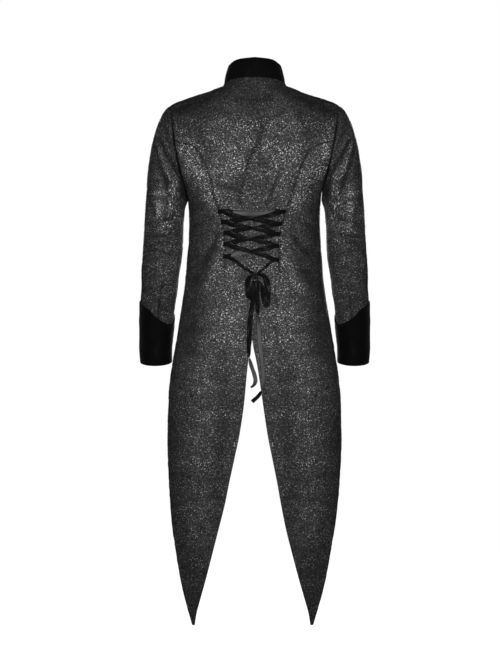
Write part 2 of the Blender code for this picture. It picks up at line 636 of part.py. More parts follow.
def collar(velvet):
    """The stand collar on the neck seam, with its front corners rounded off."""
    front_steps = [90 + (NECK_EDGE_ANGLE - 90) * k / FRONT_NECK_COLUMNS for k in range(1, 6)] + [172]
    back_steps = [90 * k / BACK_NECK_COLUMNS for k in range(1, BACK_NECK_COLUMNS + 1)]
    half = back_steps + front_steps
    degrees = np.array([-d for d in half[::-1]] + [0.0] + half)
    share = np.linspace(0, 1, COLLAR_ROWS + 1)[:, None]
    seam = neck(np.abs(degrees))
    seam[..., 0] *= np.sign(degrees)
    stand, inward, forward = (f(np.abs(degrees)) for f in (collar_stand, collar_lean, collar_shift))
    radial = unit(seam * (1, 1, 0))
    rise = point(0 * stand, -forward, stand) - radial * inward[:, None]
    bulge = COLLAR_BULGE * np.sin(math.pi * share)[..., None] * radial
    outer = seam + share[..., None] * rise + bulge + (0, 0, SEAM)
    outer[0, [0, 1, -2, -1], 2] += CORNER_CLEAR
    outer = outer[::-1]
    down = np.gradient(outer, axis=0)
    around = np.gradient(outer, axis=1)
    out = unit(np.cross(around, down))
    wall("collar", outer, outer - out * VELVET, velvet)


def back_point(x, z, height):
    """A point above the cloth of the back; x is signed, from the centre back seam."""
    x, z = np.asarray(x, float), np.asarray(z, float)
    side = np.where(x < 0, -1.0, 1.0)
    angle = angle_of(np.abs(x), z)
    base = section(angle, z)
    along = section(angle + 0.01, z) - section(angle - 0.01, z)
    down = section(angle, z - 0.5) - section(angle, z + 0.5)
    out = unit(np.cross(along, down))
    place = swayed(base, side)
    out[..., 0] *= side
    return folded_body(place, out) + out * np.asarray(height, float)[..., None], out


def smooth_route(table, steps):
    """Points along a smooth curve through a table's rows, at even shares of its length."""
    rows = np.array(table, float)
    along = np.concatenate([[0], np.cumsum(np.linalg.norm(np.diff(rows[:, :2], axis=0), axis=1))])
    at = np.linspace(0, along[-1], steps)
    return np.stack([curve(list(zip(along, rows[:, k], strict=True)))(at) for k in range(rows.shape[1])], 1)


def strip(name, line, out, width, thick, material, turn=None):
    """A flat ribbon along a line; out is its face's direction, turned about the line in degrees."""
    line = np.asarray(line, float)
    forward = unit(np.gradient(line, axis=0))
    across = unit(np.cross(forward, out))
    face = np.cross(across, forward)
    if turn is not None:
        a = np.radians(turn)[:, None]
        across, face = across * np.cos(a) + face * np.sin(a), face * np.cos(a) - across * np.sin(a)
    half = np.broadcast_to(np.asarray(width, float), (len(line),))[:, None] / 2
    corners = [(-1, 0.5), (1, 0.5), (1, -0.5), (-1, -0.5)]
    rings = [line + across * half * i + face * thick * j for i, j in corners]
    mesh = bmesh.new()
    loops = [[mesh.verts.new(ring[k] * MM) for ring in rings] for k in range(len(line))]
    for a, b in zip(loops, loops[1:], strict=False):
        for k in range(4):
            mesh.faces.new([a[k], b[k], b[(k + 1) % 4], a[(k + 1) % 4]])
    mesh.faces.new(loops[0])
    mesh.faces.new(loops[-1][::-1])
    return finish(name, mesh, material)


def from_centre(x, z):
    """The signed distance from the centre back seam of an x in the coat's own frame."""
    return x - lean(z)


def laid_ribbon(name, start, end, heights, material, sag=0.0):
    """A lacing ribbon from one loop to another, over the cloth; heights are (share, height) rows."""
    share = np.array(CROSSING_SHARES)
    x = start[0] + (end[0] - start[0]) * share
    z = start[1] + (end[1] - start[1]) * share - sag * 4 * share * (1 - share)
    height = np.interp(share, *zip(*heights, strict=True))
    line, out = back_point(x, z, height)
    strip(name, line, out, RIBBON_WIDTH, RIBBON_THICK, material)


def loop_place(number, side):
    """Where a lacing loop is: the signed distance from the centre back seam, and the height."""
    left_z, right_z, left_x, right_x = LOOPS[number - 1]
    return (left_x, left_z) if side > 0 else (-right_x, right_z)


def lacing(velvet):
    """Ten loops, the bar at the top, and a crossing between each two pairs of loops.

    The ribbons take turns to pass over, and the first crossing lies on the bar.
    """
    reach, height = np.array(LOOP_LINE).T
    for number in range(1, len(LOOPS) + 1):
        for side, word in ((1, "left"), (-1, "right")):
            x, z = loop_place(number, side)
            line, out = back_point(x + side * reach, np.full(len(reach), z), height)
            strip(f"loop_{word}_{number}", line, out, LOOP_WIDTH, LOOP_THICK, velvet)
    start, end = [(x, z + BAR_RISE) for x, z in (loop_place(1, 1), loop_place(1, -1))]
    laid_ribbon("lace_bar", start, end, [(0, LOW), (1, LOW)], velvet, sag=BAR_SAG)
    for number in range(1, len(LOOPS)):
        under = HIGH if number == 1 else LOW
        for side, word in ((1, "left"), (-1, "right")):
            middle = under + LAYER * ((number % 2 == 0) == (side == 1))
            heights = [(0, HIGH), (CHANGE_FROM, HIGH), (CHANGE_TO, middle), (1 - CHANGE_TO, middle),
                       (1 - CHANGE_FROM, LOW), (1, LOW)]
            start, end = loop_place(number, side), loop_place(number + 1, -side)
            laid_ribbon(f"lace_{word}_{number}", start, end, heights, velvet)


def bow(velvet):
    """The two ends down to the knot, the knot, the bow and the free ends."""
    kx, kz = KNOT_AT
    for side, word in ((1, "left"), (-1, "right")):
        start, z = loop_place(len(LOOPS), side)
        stop = from_centre(kx + side * END_SPREAD, kz)
        share = np.linspace(0, 1, 7)
        height = np.interp(share, *zip(*END_HEIGHTS, strict=True))
        width = np.interp(share, *zip(*END_WIDTHS, strict=True))
        line, out = back_point(start + (stop - start) * share, z + (kz + END_RISE - z) * share, height)
        strip("lace_end_" + word, line, out, width, RIBBON_THICK, velvet)
    centre, out = back_point(from_centre(kx, kz), kz, KNOT_HEIGHT)
    knot = bmesh.new()
    bmesh.ops.create_uvsphere(knot, u_segments=12, v_segments=7, radius=1)
    across = unit(np.cross([0, 0, 1], out))
    axes = np.array([across, out, np.cross(out, across)]) * np.array(KNOT_HALF)[:, None]
    for vertex in knot.verts:
        place = np.array(vertex.co)
        vertex.co = Vector((centre + (np.sign(place) * np.abs(place) ** KNOT_POWER) @ axes) * MM)
    finish("knot", knot, velvet)
    for name, table, steps in (("bow_left", BOW_LEFT, 13), ("bow_right", BOW_RIGHT, 15),
                               ("ribbon_left", FREE_LEFT, 19), ("ribbon_right", FREE_RIGHT, 21)):
        rows = smooth_route(table, steps)
        height = rows[:, 2] + RIBBON_WIDTH / 2 * np.abs(np.sin(np.radians(rows[:, 3])))
        line, out = back_point(from_centre(rows[:, 0], rows[:, 1]), rows[:, 1], height)
        strip(name, line, out, RIBBON_WIDTH, RIBBON_THICK, velvet, turn=rows[:, 3])


def centre_front(z):
    """The place and the outward direction of the front's cloth at a height on the centre line."""
    u = np.array((180 - NECK_EDGE_ANGLE) / (90 - NECK_EDGE_ANGLE) * FRONT_NECK_SHARE)
    rows = range(YOKE_ROWS + 1)
    heights = [float(front_yoke(u, np.array(float(row)))[2]) for row in rows]
    if z > FRONT_YOKE_LEVEL:
        row = np.array(np.interp(-z, -np.array(heights), rows))
        place, out = front_yoke(u, row), normals(front, u, row, YOKE_ROWS)
    else:
        place = section(np.array(math.pi), z)
        out = section(np.array(math.pi), z + 1.0) - section(np.array(math.pi), z - 1.0)
        out = np.cross(out, (1, 0, 0))
    return place, unit(out * (0, 1, 1) * -np.sign(out[1]))


def buttons(material):
    """Domed buttons down the left front's edge, turned from a profile."""
    data = bpy.data.meshes.new("button")
    edges = [(k, k + 1) for k in range(len(BUTTON) - 1)]
    data.from_pydata([(r * MM, 0, z * MM) for r, z in BUTTON], edges, [])
    data.materials.append(material)
    for number, z in enumerate(BUTTON_HEIGHTS, 1):
        place, out = centre_front(z)
        button = bpy.data.objects.new(f"button_{number}", data)
        coat.objects.link(button)
        button.location = Vector((place * (0, 1, 1) + out * (CLOTH + OVERLAP_GAP + BUTTON_CLEAR)) * MM)
        button.rotation_mode = "QUATERNION"
        button.rotation_quaternion = Vector(out).to_track_quat("Z", "Y")
        turned = button.modifiers.new("Turned", "SCREW")
        turned.axis = "Z"
        turned.steps = turned.render_steps = BUTTON_STEPS
        turned.use_merge_vertices = True
        turned.merge_threshold = 0.00001


def overlap_lift(points):
    """The left front rises over the right one near the centre front."""
    near = smoothstep((OVERLAP_END - points[..., 0]) / OVERLAP_RAMP)
    return (CLOTH + OVERLAP_GAP) * near * (points[..., 1] < 0)


def material(name, colour, roughness):
    made = bpy.data.materials.new(name)
    made.use_nodes = True
    shader = made.node_tree.nodes["Principled BSDF"]
    shader.inputs["Base Color"].default_value = colour
    shader.inputs["Roughness"].default_value = roughness
    shader.inputs["Metallic"].default_value = 0.0
    return made


def main():
    brocade = material("brocade", BROCADE_COLOUR, 0.5)
    velvet = material("velvet", VELVET_COLOUR, 0.9)
    button = material("button", BUTTON_COLOUR, 0.35)
    shares = np.linspace(0, 1, SHOULDER_COLUMNS + 1)[1:]
    back_across = np.concatenate([np.linspace(0, BACK_NECK_SHARE, BACK_NECK_COLUMNS + 1),
                                  BACK_NECK_SHARE + (1 - BACK_NECK_SHARE) * shares])
    front_across = np.concatenate([np.linspace(0, FRONT_NECK_SHARE, FRONT_NECK_COLUMNS + 1),
                                   FRONT_NECK_SHARE + (1 - FRONT_NECK_SHARE) * shares])
    side_across = np.linspace(0, 1, SIDE_COLUMNS + 1)
    back_rows = np.arange(0.0, YOKE_ROWS + FAN_ROWS + len(LEVELS))
    side_rows = np.arange(0.0, FAN_ROWS + len(LEVELS))
    front_rows = np.arange(0.0, YOKE_ROWS + FRONT_ARM_ROWS + LEVELS.index(FRONT_END) + 2)
    for side, word in ((1, "left"), (-1, "right")):
        back_shared, front_shared, angle = sleeves(side, word, brocade)
        panel("back_centre_" + word, centre_back, back_across, back_rows, side, brocade,
              ("top", "first", "last"), edge_normals=(0, back_shared[:YOKE_ROWS + 1]))
        panel("back_side_" + word, side_back, side_across, side_rows, side, brocade,
              ("top", "first", "last"), edge_normals=(1, back_shared[YOKE_ROWS + 1:]), corner=True)
        panel("front_" + word, front, front_across, front_rows, side, brocade,
              ("top", "last"), edge_normals=(0, front_shared), lift=overlap_lift if side > 0 else None)
        cuff(side, word, angle, velvet)
    collar(velvet)
    lacing(velvet)
    bow(velvet)
    buttons(button)


for old in list(bpy.data.objects):
    bpy.data.objects.remove(old)
coat = bpy.data.collections.new("tailcoat")
bpy.context.scene.collection.children.link(coat)
main()
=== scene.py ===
# %% [markdown]
# # A laced tailcoat in brocade and velvet
#
# The coat keeps the form it has on a wearer, but nobody is in it, so every piece is a thin curved wall
# of cloth that is finished on both sides. The construction model fixes where each piece lies. Here each
# one is made again with a finer surface: its seams, creases and raised weave, and the ribbon that
# laces the back.

# %% Load the fixed construction model
import json
import math

import bmesh
import bpy
import numpy as np
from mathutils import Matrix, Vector

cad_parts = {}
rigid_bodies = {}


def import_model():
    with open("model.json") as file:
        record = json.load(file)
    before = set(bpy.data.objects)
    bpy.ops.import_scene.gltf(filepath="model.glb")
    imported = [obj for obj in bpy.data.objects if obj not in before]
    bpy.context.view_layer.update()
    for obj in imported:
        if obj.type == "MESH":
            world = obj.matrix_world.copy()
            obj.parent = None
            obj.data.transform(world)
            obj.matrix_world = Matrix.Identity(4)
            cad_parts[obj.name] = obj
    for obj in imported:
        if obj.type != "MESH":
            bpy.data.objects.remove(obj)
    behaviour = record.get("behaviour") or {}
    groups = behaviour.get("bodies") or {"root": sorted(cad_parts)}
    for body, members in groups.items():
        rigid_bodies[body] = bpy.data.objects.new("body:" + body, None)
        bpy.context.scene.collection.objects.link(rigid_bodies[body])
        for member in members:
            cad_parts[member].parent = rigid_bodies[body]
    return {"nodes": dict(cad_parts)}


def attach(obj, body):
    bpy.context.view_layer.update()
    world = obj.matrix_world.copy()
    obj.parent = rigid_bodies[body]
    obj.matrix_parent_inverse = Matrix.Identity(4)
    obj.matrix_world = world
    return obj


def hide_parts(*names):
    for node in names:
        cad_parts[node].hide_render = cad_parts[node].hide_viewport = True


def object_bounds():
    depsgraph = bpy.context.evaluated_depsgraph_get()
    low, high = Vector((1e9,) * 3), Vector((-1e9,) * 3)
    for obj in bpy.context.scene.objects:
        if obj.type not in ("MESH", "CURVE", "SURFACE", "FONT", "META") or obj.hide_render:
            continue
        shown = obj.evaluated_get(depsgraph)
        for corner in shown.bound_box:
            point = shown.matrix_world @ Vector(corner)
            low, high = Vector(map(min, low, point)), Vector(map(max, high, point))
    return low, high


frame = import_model()
cad_low, cad_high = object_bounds()
MM = 0.001
print("construction nodes:", len(frame["nodes"]))

# %% [markdown]
# ## Camera
#
# The photograph looks straight at the back, level with the middle of the coat. A long lens far away
# keeps the coat's near and far parts at almost one scale. One pixel of the 672 high picture is 2.45 mm
# at the coat's middle plane, and the lens follows from that and from the distance.

# %% Place the camera
PIXEL = 2.45 * MM
PICTURE_HEIGHT = 672
CAMERA_PLACE = (0.0115, 4.5, -0.6125)
SENSOR = 36.0

camera_data = bpy.data.cameras.new("camera")
camera_data.sensor_width = SENSOR
camera_data.lens = SENSOR * CAMERA_PLACE[1] / (PICTURE_HEIGHT * PIXEL)
camera = bpy.data.objects.new("camera", camera_data)
camera.location = CAMERA_PLACE
camera.rotation_euler = (math.radians(90), 0, math.radians(180))
bpy.context.scene.collection.objects.link(camera)
bpy.context.scene.camera = camera
print("lens:", round(camera_data.lens, 1), "mm")

# %% [markdown]
# ## The form of the body
#
# A tailor's block is a stack of sections: how wide and how deep the coat is at each height. The sections
# here are rounded rectangles, half way between an ellipse and a box, and each column of a table is read
# as one smooth curve. That keeps the whole outline in a few rows that can be checked with a tape.

# %% Read a column of a table as a smooth curve


def curve(table, column=1):
    """A function that reads a column of a table between its rows, without overshooting them."""
    rows = sorted(table)
    at = np.array([row[0] for row in rows], float)
    value = np.array([row[column] for row in rows], float)
    rise = np.diff(value) / np.diff(at)
    slope = np.concatenate([[rise[0]], np.zeros(len(at) - 2), [rise[-1]]])
    same = rise[:-1] * rise[1:] > 0
    both = np.where(same, rise[:-1] + rise[1:], 1)
    slope[1:-1] = np.where(same, 2 * rise[:-1] * rise[1:] / both, 0)

    def read(place):
        place = np.clip(place, at[0], at[-1])
        i = np.clip(np.searchsorted(at, place) - 1, 0, len(at) - 2)
        step = at[i + 1] - at[i]
        t = (place - at[i]) / step
        start = value[i] * (1 + 2 * t) * (1 - t) ** 2 + slope[i] * step * t * (1 - t) ** 2
        end = value[i + 1] * t * t * (3 - 2 * t) - slope[i + 1] * step * t * t * (1 - t)
        return start + end

    return read


def point(x, y, z):
    return np.stack(np.broadcast_arrays(x, y, z), axis=-1).astype(float)


def unit(v):
    return v / np.maximum(np.linalg.norm(v, axis=-1, keepdims=True), 1e-12)


def smoothstep(t):
    t = np.clip(t, 0, 1)
    return t * t * (3 - 2 * t)


# %% The body's sizes in millimetres
CLOTH, VELVET = 2.2, 2.6
NECK_HALF_WIDTH, NECK_BACK, NECK_FRONT = 75.5, 58.0, 62.0
NECK_STEEPNESS, NECK_FULLNESS, SHOULDER_FULLNESS = 40.0, 1.6, 2.0
NECK_EDGE_ANGLE = 195.4
BACK_NECK_SHARE, FRONT_NECK_SHARE = 0.40, 0.45
BACK_YOKE, FRONT_YOKE, UNDERARM, FAN_FOOT = -138.0, -180.0, -285.0, -300.0
VENT_TOP, FRONT_END, TIP = -622.0, -815.0, -1300.0
ROUNDNESS = 2.35
OVERLAP_GAP, OVERLAP_END, OVERLAP_RAMP = 1.3, 44.0, 18.0

# Height, half width, depth behind, depth before
BODY = [
    (-100, 226, 114, -99), (-138, 218.5, 117, -109), (-180, 206, 116.5, -116), (-210, 196, 114.5, -118),
    (-240, 184, 112, -118), (-260, 175, 110, -117), (-274, 168, 108, -116), (-285, 162.5, 106, -115),
    (-300, 161, 103, -112.5), (-330, 160.5, 98, -107), (-367, 161, 92.5, -101), (-390, 162, 90.5, -98.5),
    (-412, 163.5, 91.5, -97.5), (-470, 168, 101, -100), (-529, 176, 114, -104), (-588, 185.5, 124, -107),
    (-647, 195, 131, -110), (-706, 205, 136, -112), (-764, 210, 140, -113), (-823, 212, 144, -114),
    (-1000, 212, 153, -114), (-1330, 212, 163, -114),
]
# Neck seam: angle, height. Shoulder seam: distance from the centre, height, depth
NECK = [(0, 13.5), (36, 11.5), (60, 7), (90, 0), (120, -22), (150, -52), (172, -68), (196, -66)]
SHOULDER = [(75.5, 0, 0), (114, -15, 0), (154, -28.5, 1), (190, -41, 2), (207, -49.5, 3)]
# Seams and edges: height, distance from the centre, or the angle where it says so
ARMHOLE_BACK = [(-138, 194.5), (-160, 190), (-187, 185), (-217, 178), (-245, 171), (-262, 167),
                (-275, 164.5), (-285, 162.5)]
ARMHOLE_FRONT = [(-180, 178), (-210, 172), (-240, 168), (-262, 165), (-275, 163.5), (-285, 162.5)]
PRINCESS = [(-138, 194.5), (-143, 180), (-150, 158), (-161, 138), (-180, 126), (-211, 111),
            (-243, 100.5), (-276, 92), (-311, 81), (-344, 71.5), (-370, 67), (-404, 65.5),
            (-429, 65.5), (-510, 71), (-620, 88), (-750, 106), (-900, 122), (-1050, 134),
            (-1200, 141), (-1300, 141.4)]
VENT = [(-622, 0), (-640, 3), (-670, 9), (-703, 14), (-759, 20.5), (-845, 33), (-901, 44.5),
        (-958, 56.5), (-1015, 67.5), (-1072, 80.5), (-1129, 95), (-1186, 110), (-1244, 126.5),
        (-1274, 134.5), (-1300, 138.5)]
SIDE_ANGLE = [(-285, 90), (-330, 95), (-815, 95), (-882, 86), (-950, 78), (-1020, 71.4), (-1065, 67),
              (-1110, 61.3), (-1155, 56.7), (-1200, 52), (-1245, 46.5), (-1275, 42.5), (-1300, 39.5)]
# Front edge: height at the side seam, angle, height at the edge
FRONT_EDGE = [(-180, 184, -180), (-285, 184, -312), (-420, 181, -440), (-450, 173, -463),
              (-485, 151, -500), (-525, 134, -543), (-570, 122.5, -588), (-620, 114.5, -638),
              (-675, 108, -690), (-730, 103, -742), (-780, 99, -786), (-815, 95.8, -817)]
LEAN = [(-100, 0), (-150, 2.7), (-300, 5), (-400, 7), (-630, 6.5), (-800, 3), (-900, 3.5),
        (-1000, 4.5), (-1090, 6.5), (-1300, 6.5)]

half_width, depth_behind, depth_before = curve(BODY, 1), curve(BODY, 2), curve(BODY, 3)
neck_height = curve(NECK)
shoulder_height, shoulder_depth = curve(SHOULDER, 1), curve(SHOULDER, 2)
armhole_back, armhole_front = curve(ARMHOLE_BACK), curve(ARMHOLE_FRONT)
princess, vent, side_angle, lean = curve(PRINCESS), curve(VENT), curve(SIDE_ANGLE), curve(LEAN)
edge_angle, edge_height = curve(FRONT_EDGE, 1), curve(FRONT_EDGE, 2)

# %% Points on the body


def angle_of(x, z):
    """The section angle, from the centre back, of a place at a distance from the centre line."""
    share = np.clip(x / half_width(z), 0, 1)
    return np.arcsin(share ** (ROUNDNESS / 2))


def section(angle, z):
    """A point on the body's outer face at an angle from the centre back."""
    s, c = np.sin(angle), np.cos(angle)
    x = half_width(z) * np.sign(s) * np.abs(s) ** (2 / ROUNDNESS)
    depth = np.where(c > 0, depth_behind(z), depth_before(z))
    return point(x, depth * np.abs(c) ** (2 / ROUNDNESS), z)


def neck(degrees):
    a = np.radians(degrees)
    depth = np.where(np.cos(a) > 0, NECK_BACK, NECK_FRONT)
    return point(NECK_HALF_WIDTH * np.sin(a), depth * np.cos(a), neck_height(degrees))


def shoulder(share):
    x = NECK_HALF_WIDTH + share * (SHOULDER[-1][0] - NECK_HALF_WIDTH)
    return point(x, shoulder_depth(x), shoulder_height(x))


def slope(top, foot, down, u, neck_share):
    """The rounded slope from a panel's top edge to the section where its yoke ends."""
    power = 2 / (NECK_FULLNESS + (SHOULDER_FULLNESS - NECK_FULLNESS) * smoothstep(u / 0.6))
    start = np.radians(NECK_STEEPNESS * smoothstep((neck_share - u) / 0.3))
    turn = np.clip(start + down * (math.pi / 2 - start), 0, math.pi / 2)
    fall = 1 - (np.cos(turn) / np.cos(start)) ** power
    out = (np.sin(turn) ** power - np.sin(start) ** power) / (1 - np.sin(start) ** power)
    path = top + (foot - top) * fall[..., None]
    path[..., 1] = top[..., 1] + (foot[..., 1] - top[..., 1]) * out
    return path


def yoke(u, down, neck_share, neck_end, first, last, level):
    """The upper part of a panel, from the neck and shoulder seams to its level section."""
    share = (u - neck_share) / (1 - neck_share)
    degrees = neck_end + (90 - neck_end) * np.clip(u / neck_share, 0, 1)
    top = np.where((share < 0)[..., None], neck(degrees), shoulder(np.clip(share, 0, 1)))
    return slope(top, section(first + (last - first) * u, level), down, u, neck_share)


# %% [markdown]
# ## The three body panels
#
# Each panel is a surface with two directions: `u` runs across it and `v` down it, from 0 at the top to 3
# at the foot. Seams are shared curves, so two neighbours meet exactly. Working out a surface from its
# seams is what a pattern cutter does, and it lets the mesh be as fine as the weave needs.

# %% The panels as surfaces


def fan_height(v, power):
    """Heights in the fan of rows under the armhole, and then in the level rows to the tip."""
    fan = BACK_YOKE + (FAN_FOOT - BACK_YOKE) * np.clip(v - 1, 0, 1) ** power
    return np.where(v < 2, fan, FAN_FOOT + (TIP - FAN_FOOT) * (v - 2))


def centre_back(u, v):
    last = angle_of(armhole_back(BACK_YOKE), BACK_YOKE)
    above = yoke(u, np.clip(v, 0, 1), BACK_NECK_SHARE, 0.0, 0.0, last, BACK_YOKE)
    z0, z1 = fan_height(v, 1), fan_height(v, 1.5)
    a0, a1 = angle_of(vent(z0), z0), angle_of(princess(z1), z1)
    return np.where((v < 1)[..., None], above, section(a0 + (a1 - a0) * u, z0 + (z1 - z0) * u))


def side_back(u, v):
    z0 = fan_height(v, 1.5)
    arm = np.interp(v, [1, 1 + 8 / 9, 2], [BACK_YOKE, UNDERARM, FAN_FOOT])
    z1 = np.where(v < 2, arm, z0)
    arm_angle = angle_of(armhole_back(z1), z1)
    a0 = angle_of(princess(z0), z0)
    a1 = np.where(z1 > UNDERARM, arm_angle, np.radians(side_angle(z1)))
    return section(a0 + (a1 - a0) * u, z0 + (z1 - z0) * u)


def front(u, v):
    first, last = math.radians(FRONT_EDGE[0][1]), math.pi - angle_of(armhole_front(FRONT_YOKE), FRONT_YOKE)
    above = yoke(u, np.clip(v, 0, 1), FRONT_NECK_SHARE, NECK_EDGE_ANGLE, first, last, FRONT_YOKE)
    z1 = FRONT_YOKE + (FRONT_END - FRONT_YOKE) * np.clip(v - 1, 0, 2) / 2
    z0, a0 = edge_height(z1), np.radians(edge_angle(z1))
    arm = math.pi - angle_of(armhole_front(z1), z1)
    a1 = np.where(z1 > UNDERARM, arm, np.radians(side_angle(z1)))
    return np.where((v < 1)[..., None], above, section(a0 + (a1 - a0) * u, z0 + (z1 - z0) * u))


def swayed(points, side):
    """Panel points on their own side of the coat, with the centre line's slight lean."""
    x, y, z = np.moveaxis(points, -1, 0)
    share = np.clip(y / depth_behind(z), 0, 1)
    return point(side * x + lean(z) * share * (z < LEAN[0][0]), y, z)


# %% [markdown]
# ## Creases
#
# Cloth on a body pulls where it is tight and folds where it is bent: from the blades to the lacing, out
# from the waist, under the arms and round the elbows. Each crease is one row of a table, a soft trough
# or, with a depth under 0, a ridge, with its own length, width, depth and bow. A simulation would give
# other folds than the photograph shows, so they are placed one by one.

# %% The creases of each face
# By face: start x, start z, end x, end z, bow, half width, depth
CREASES = {
    "back": [
        # between the blades and down to the lacing
        (-65, -77, -19, -110, 3, 6, 2.6), (-19, -108, 10, -180, -5, 5, 2.6),
        (14, -194, 34, -268, 0, 5, 2.4), (-62, -208, -28, -296, -3, 5, 2.6),
        (104, -242, 60, -258, 2, 6, 3.0), (-8, -150, -22, -196, 3, 6, 1.6),
        (44, -215, 36, -292, 3, 6, 1.8), (-92, -232, -84, -262, 2, 5, 2.2),
        (78, -75, 30, -105, -3, 9, 1.4), (128, -120, 108, -176, 4, 8, 1.6),
        (-112, -88, -130, -150, -4, 8, 1.6), (-44, -128, -66, -150, 2, 7, 1.4),
        # dark along the shoulders and under the collar
        (118, -40, 186, -66, 0, 13, 2.2), (-118, -40, -190, -68, 0, 13, 2.2),
        (-30, -42, 24, -44, 0, 11, 1.8),
        # the rounds of the blades and the strips beside them, down to the lacing
        (62, -120, 72, -200, 5, 34, -2.4), (-66, -116, -76, -196, -5, 34, -2.4),
        (166, -165, 94, -296, -6, 21, -3.2), (-170, -165, -88, -296, 6, 21, -3.2),
        # the edges of the side panels, pulled up by the loops
        (77, -345, 76, -425, 0, 5, -3.0), (79, -425, 110, -492, 0, 9, -2.4),
        (-63, -345, -65, -425, 0, 5, -3.0), (-67, -425, -106, -492, 0, 9, -2.4),
        # out from the laced waist, and the hollow sides
        (150, -318, 128, -440, 0, 30, 1.1), (-152, -322, -134, -450, 0, 30, 1.1),
        (92, -374, 122, -432, -3, 7, 2.6), (-96, -376, -124, -410, 3, 7, 2.6),
        (100, -330, 140, -345, 2, 7, 1.4), (-98, -334, -140, -350, -2, 7, 1.4),
        (104, -404, 138, -474, -4, 8, 0.9), (-100, -410, -136, -482, 4, 8, 0.9),
        (-94, -452, -128, -456, 1, 5, 1.3), (92, -298, 132, -304, 2, 7, 1.2),
        # the seat
        (58, -500, 62, -620, 0, 42, -2.2), (-64, -500, -68, -620, 0, 42, -2.2),
        (30, -470, 58, -548, 4, 8, 1.8), (-40, -476, -56, -556, -4, 8, 1.8),
        (-49, -524, -50, -628, 2, 7, 1.8), (92, -556, 150, -556, 2, 4, -1.0),
        (-82, -556, -132, -556, -2, 4, -1.0), (150, -500, 156, -640, 2, 24, 1.6),
        (-154, -506, -160, -650, -2, 24, 1.6),
        # the tails
        (120, -700, 128, -1100, 6, 34, -2.0), (-120, -690, -128, -1080, -6, 34, -2.0),
        (76, -740, 96, -980, -5, 20, 1.2), (-80, -730, -98, -990, 5, 20, 1.2),
        (60, -640, 96, -700, 3, 12, 1.3), (-64, -650, -100, -716, -3, 12, 1.2),
    ],
    "front": [
        # the fronts, out from the buttons and in from the arms
        (60, -330, 110, -400, -3, 15, 3.0), (-60, -322, -112, -395, 3, 15, 3.0),
        (120, -215, 78, -262, 3, 14, 2.5), (-118, -210, -80, -255, -3, 14, 2.5),
        (22, -272, 96, -292, 3, 11, 1.6), (-24, -276, -92, -300, -3, 11, 1.5),
        (20, -350, 88, -352, -3, 10, 1.7), (-22, -352, -86, -348, 3, 10, 1.6),
        (26, -424, 92, -458, -3, 11, 1.8), (-28, -422, -90, -462, 3, 11, 1.7),
        (100, -110, 74, -190, 4, 12, 1.5), (-102, -112, -76, -186, -4, 12, 1.5),
    ],
    "sleeve": [
        # the sleeves, on their backs and fronts
        (228, -142, 184, -214, 3, 5.5, 3.8), (184, -214, 181, -236, 0, 6, 2.0),
        (240, -158, 214, -236, 4, 5.5, 3.6), (214, -236, 200, -282, 2, 6, 2.8),
        (234, -150, 196, -232, 3, 7, -2.6), (232, -262, 231, -318, 0, 8, -4.4),
        (200, -254, 204, -282, 0, 6, -3.2), (214, -346, 236, -356, 2, 7, -2.6),
        (206, -332, 240, -338, 2, 4, 2.2), (204, -366, 244, -372, -2, 4, 2.4),
        (208, -388, 252, -392, 2, 5, 1.8), (206, -415, 250, -405, 2, 5, 1.8),
        (262, -262, 240, -320, 4, 6, 1.8), (190, -308, 214, -330, -3, 5, 1.8),
        (258, -336, 236, -352, 2, 5, 1.6), (218, -446, 262, -462, 2, 7, 1.4),
        (222, -488, 258, -502, -2, 7, 1.2), (250, -300, 266, -352, 1, 7, -1.2),
        (216, -100, 202, -150, 2, 7, 1.8), (244, -520, 222, -548, 2, 7, 1.2),
    ],
    "bend": [
        # more on the fronts of the sleeves, where the elbow bends
        (200, -345, 250, -362, 3, 9, 3.0), (196, -392, 252, -398, -3, 9, 3.6),
        (204, -448, 262, -436, 3, 9, 2.6), (210, -370, 240, -380, 1, 7, 1.6),
        (214, -424, 254, -420, 2, 7, 1.6), (220, -480, 262, -490, -2, 8, 1.3),
    ],
}
BODY_FACE, SLEEVE_FACE = 40.0, 30.0  # past this depth from its middle plane a face has its creases in full
END_FADE = 0.35  # how much more slowly a crease dies out at its ends than at its sides


def crease_depth(creases, x, z):
    """How far these creases push the cloth in at a place seen square on."""
    total = np.zeros(np.shape(x))
    for x0, z0, x1, z1, bow, width, depth in creases:
        run = np.array([x1 - x0, z1 - z0], float)
        long = np.linalg.norm(run)
        ahead, aside = run / long, np.array([-run[1], run[0]]) / long
        t = ((x - x0) * ahead[0] + (z - z0) * ahead[1]) / long
        near = np.clip(t, 0, 1)
        beyond = (t - near) * long
        off = (x - x0) * aside[0] + (z - z0) * aside[1] - bow * 4 * near * (1 - near)
        total = total + depth * np.exp(-(off**2 + beyond**2 * END_FADE) / width**2)
    return total


def body_crease(points):
    x, y, z = np.moveaxis(points, -1, 0)
    behind, before = (crease_depth(CREASES[face], x, z) for face in ("back", "front"))
    return smoothstep(np.abs(y) / BODY_FACE) * np.where(y > 0, behind, before)


print("creases:", {face: len(rows) for face, rows in CREASES.items()})

# %% [markdown]
# A crease also changes the light. Less of it reaches the bottom of a fold, and more its ridges, and the
# silk glints most where the cloth is pulled tight, over the blades and at the elbows. Here both are painted
# into the cloth's colour: a painted shade in creases, seams and under the arm, a painted highlight on
# ridges, and painted glints that grow dimmer towards the sides, the shoulders and the tails' tips. Both
# are worked out here from the same kind of table, and stored on the mesh for the material to read.

# %% The painted shade and the painted glints at a place
# Painted shade: creases, seams and the underarm are darkened in the cloth's colour, and ridges lightened.
UNDERARM_SHADE, UNDERARM_DARK = (174.0, -262.0, 12.0, 27.0), 1.1  # x, z, half width, half height
CREASE_SHADE, CREASE_DARKEST, SEAM_SHADE = 0.28, 0.75, 0.74
RIDGE_LIGHTEST, DARKEST = -0.5, 0.95
SHADED_SEAM_FROM, SHADED_SEAM_OVER = 0.3, 1.1  # the depths of a seam where its shade starts and grows


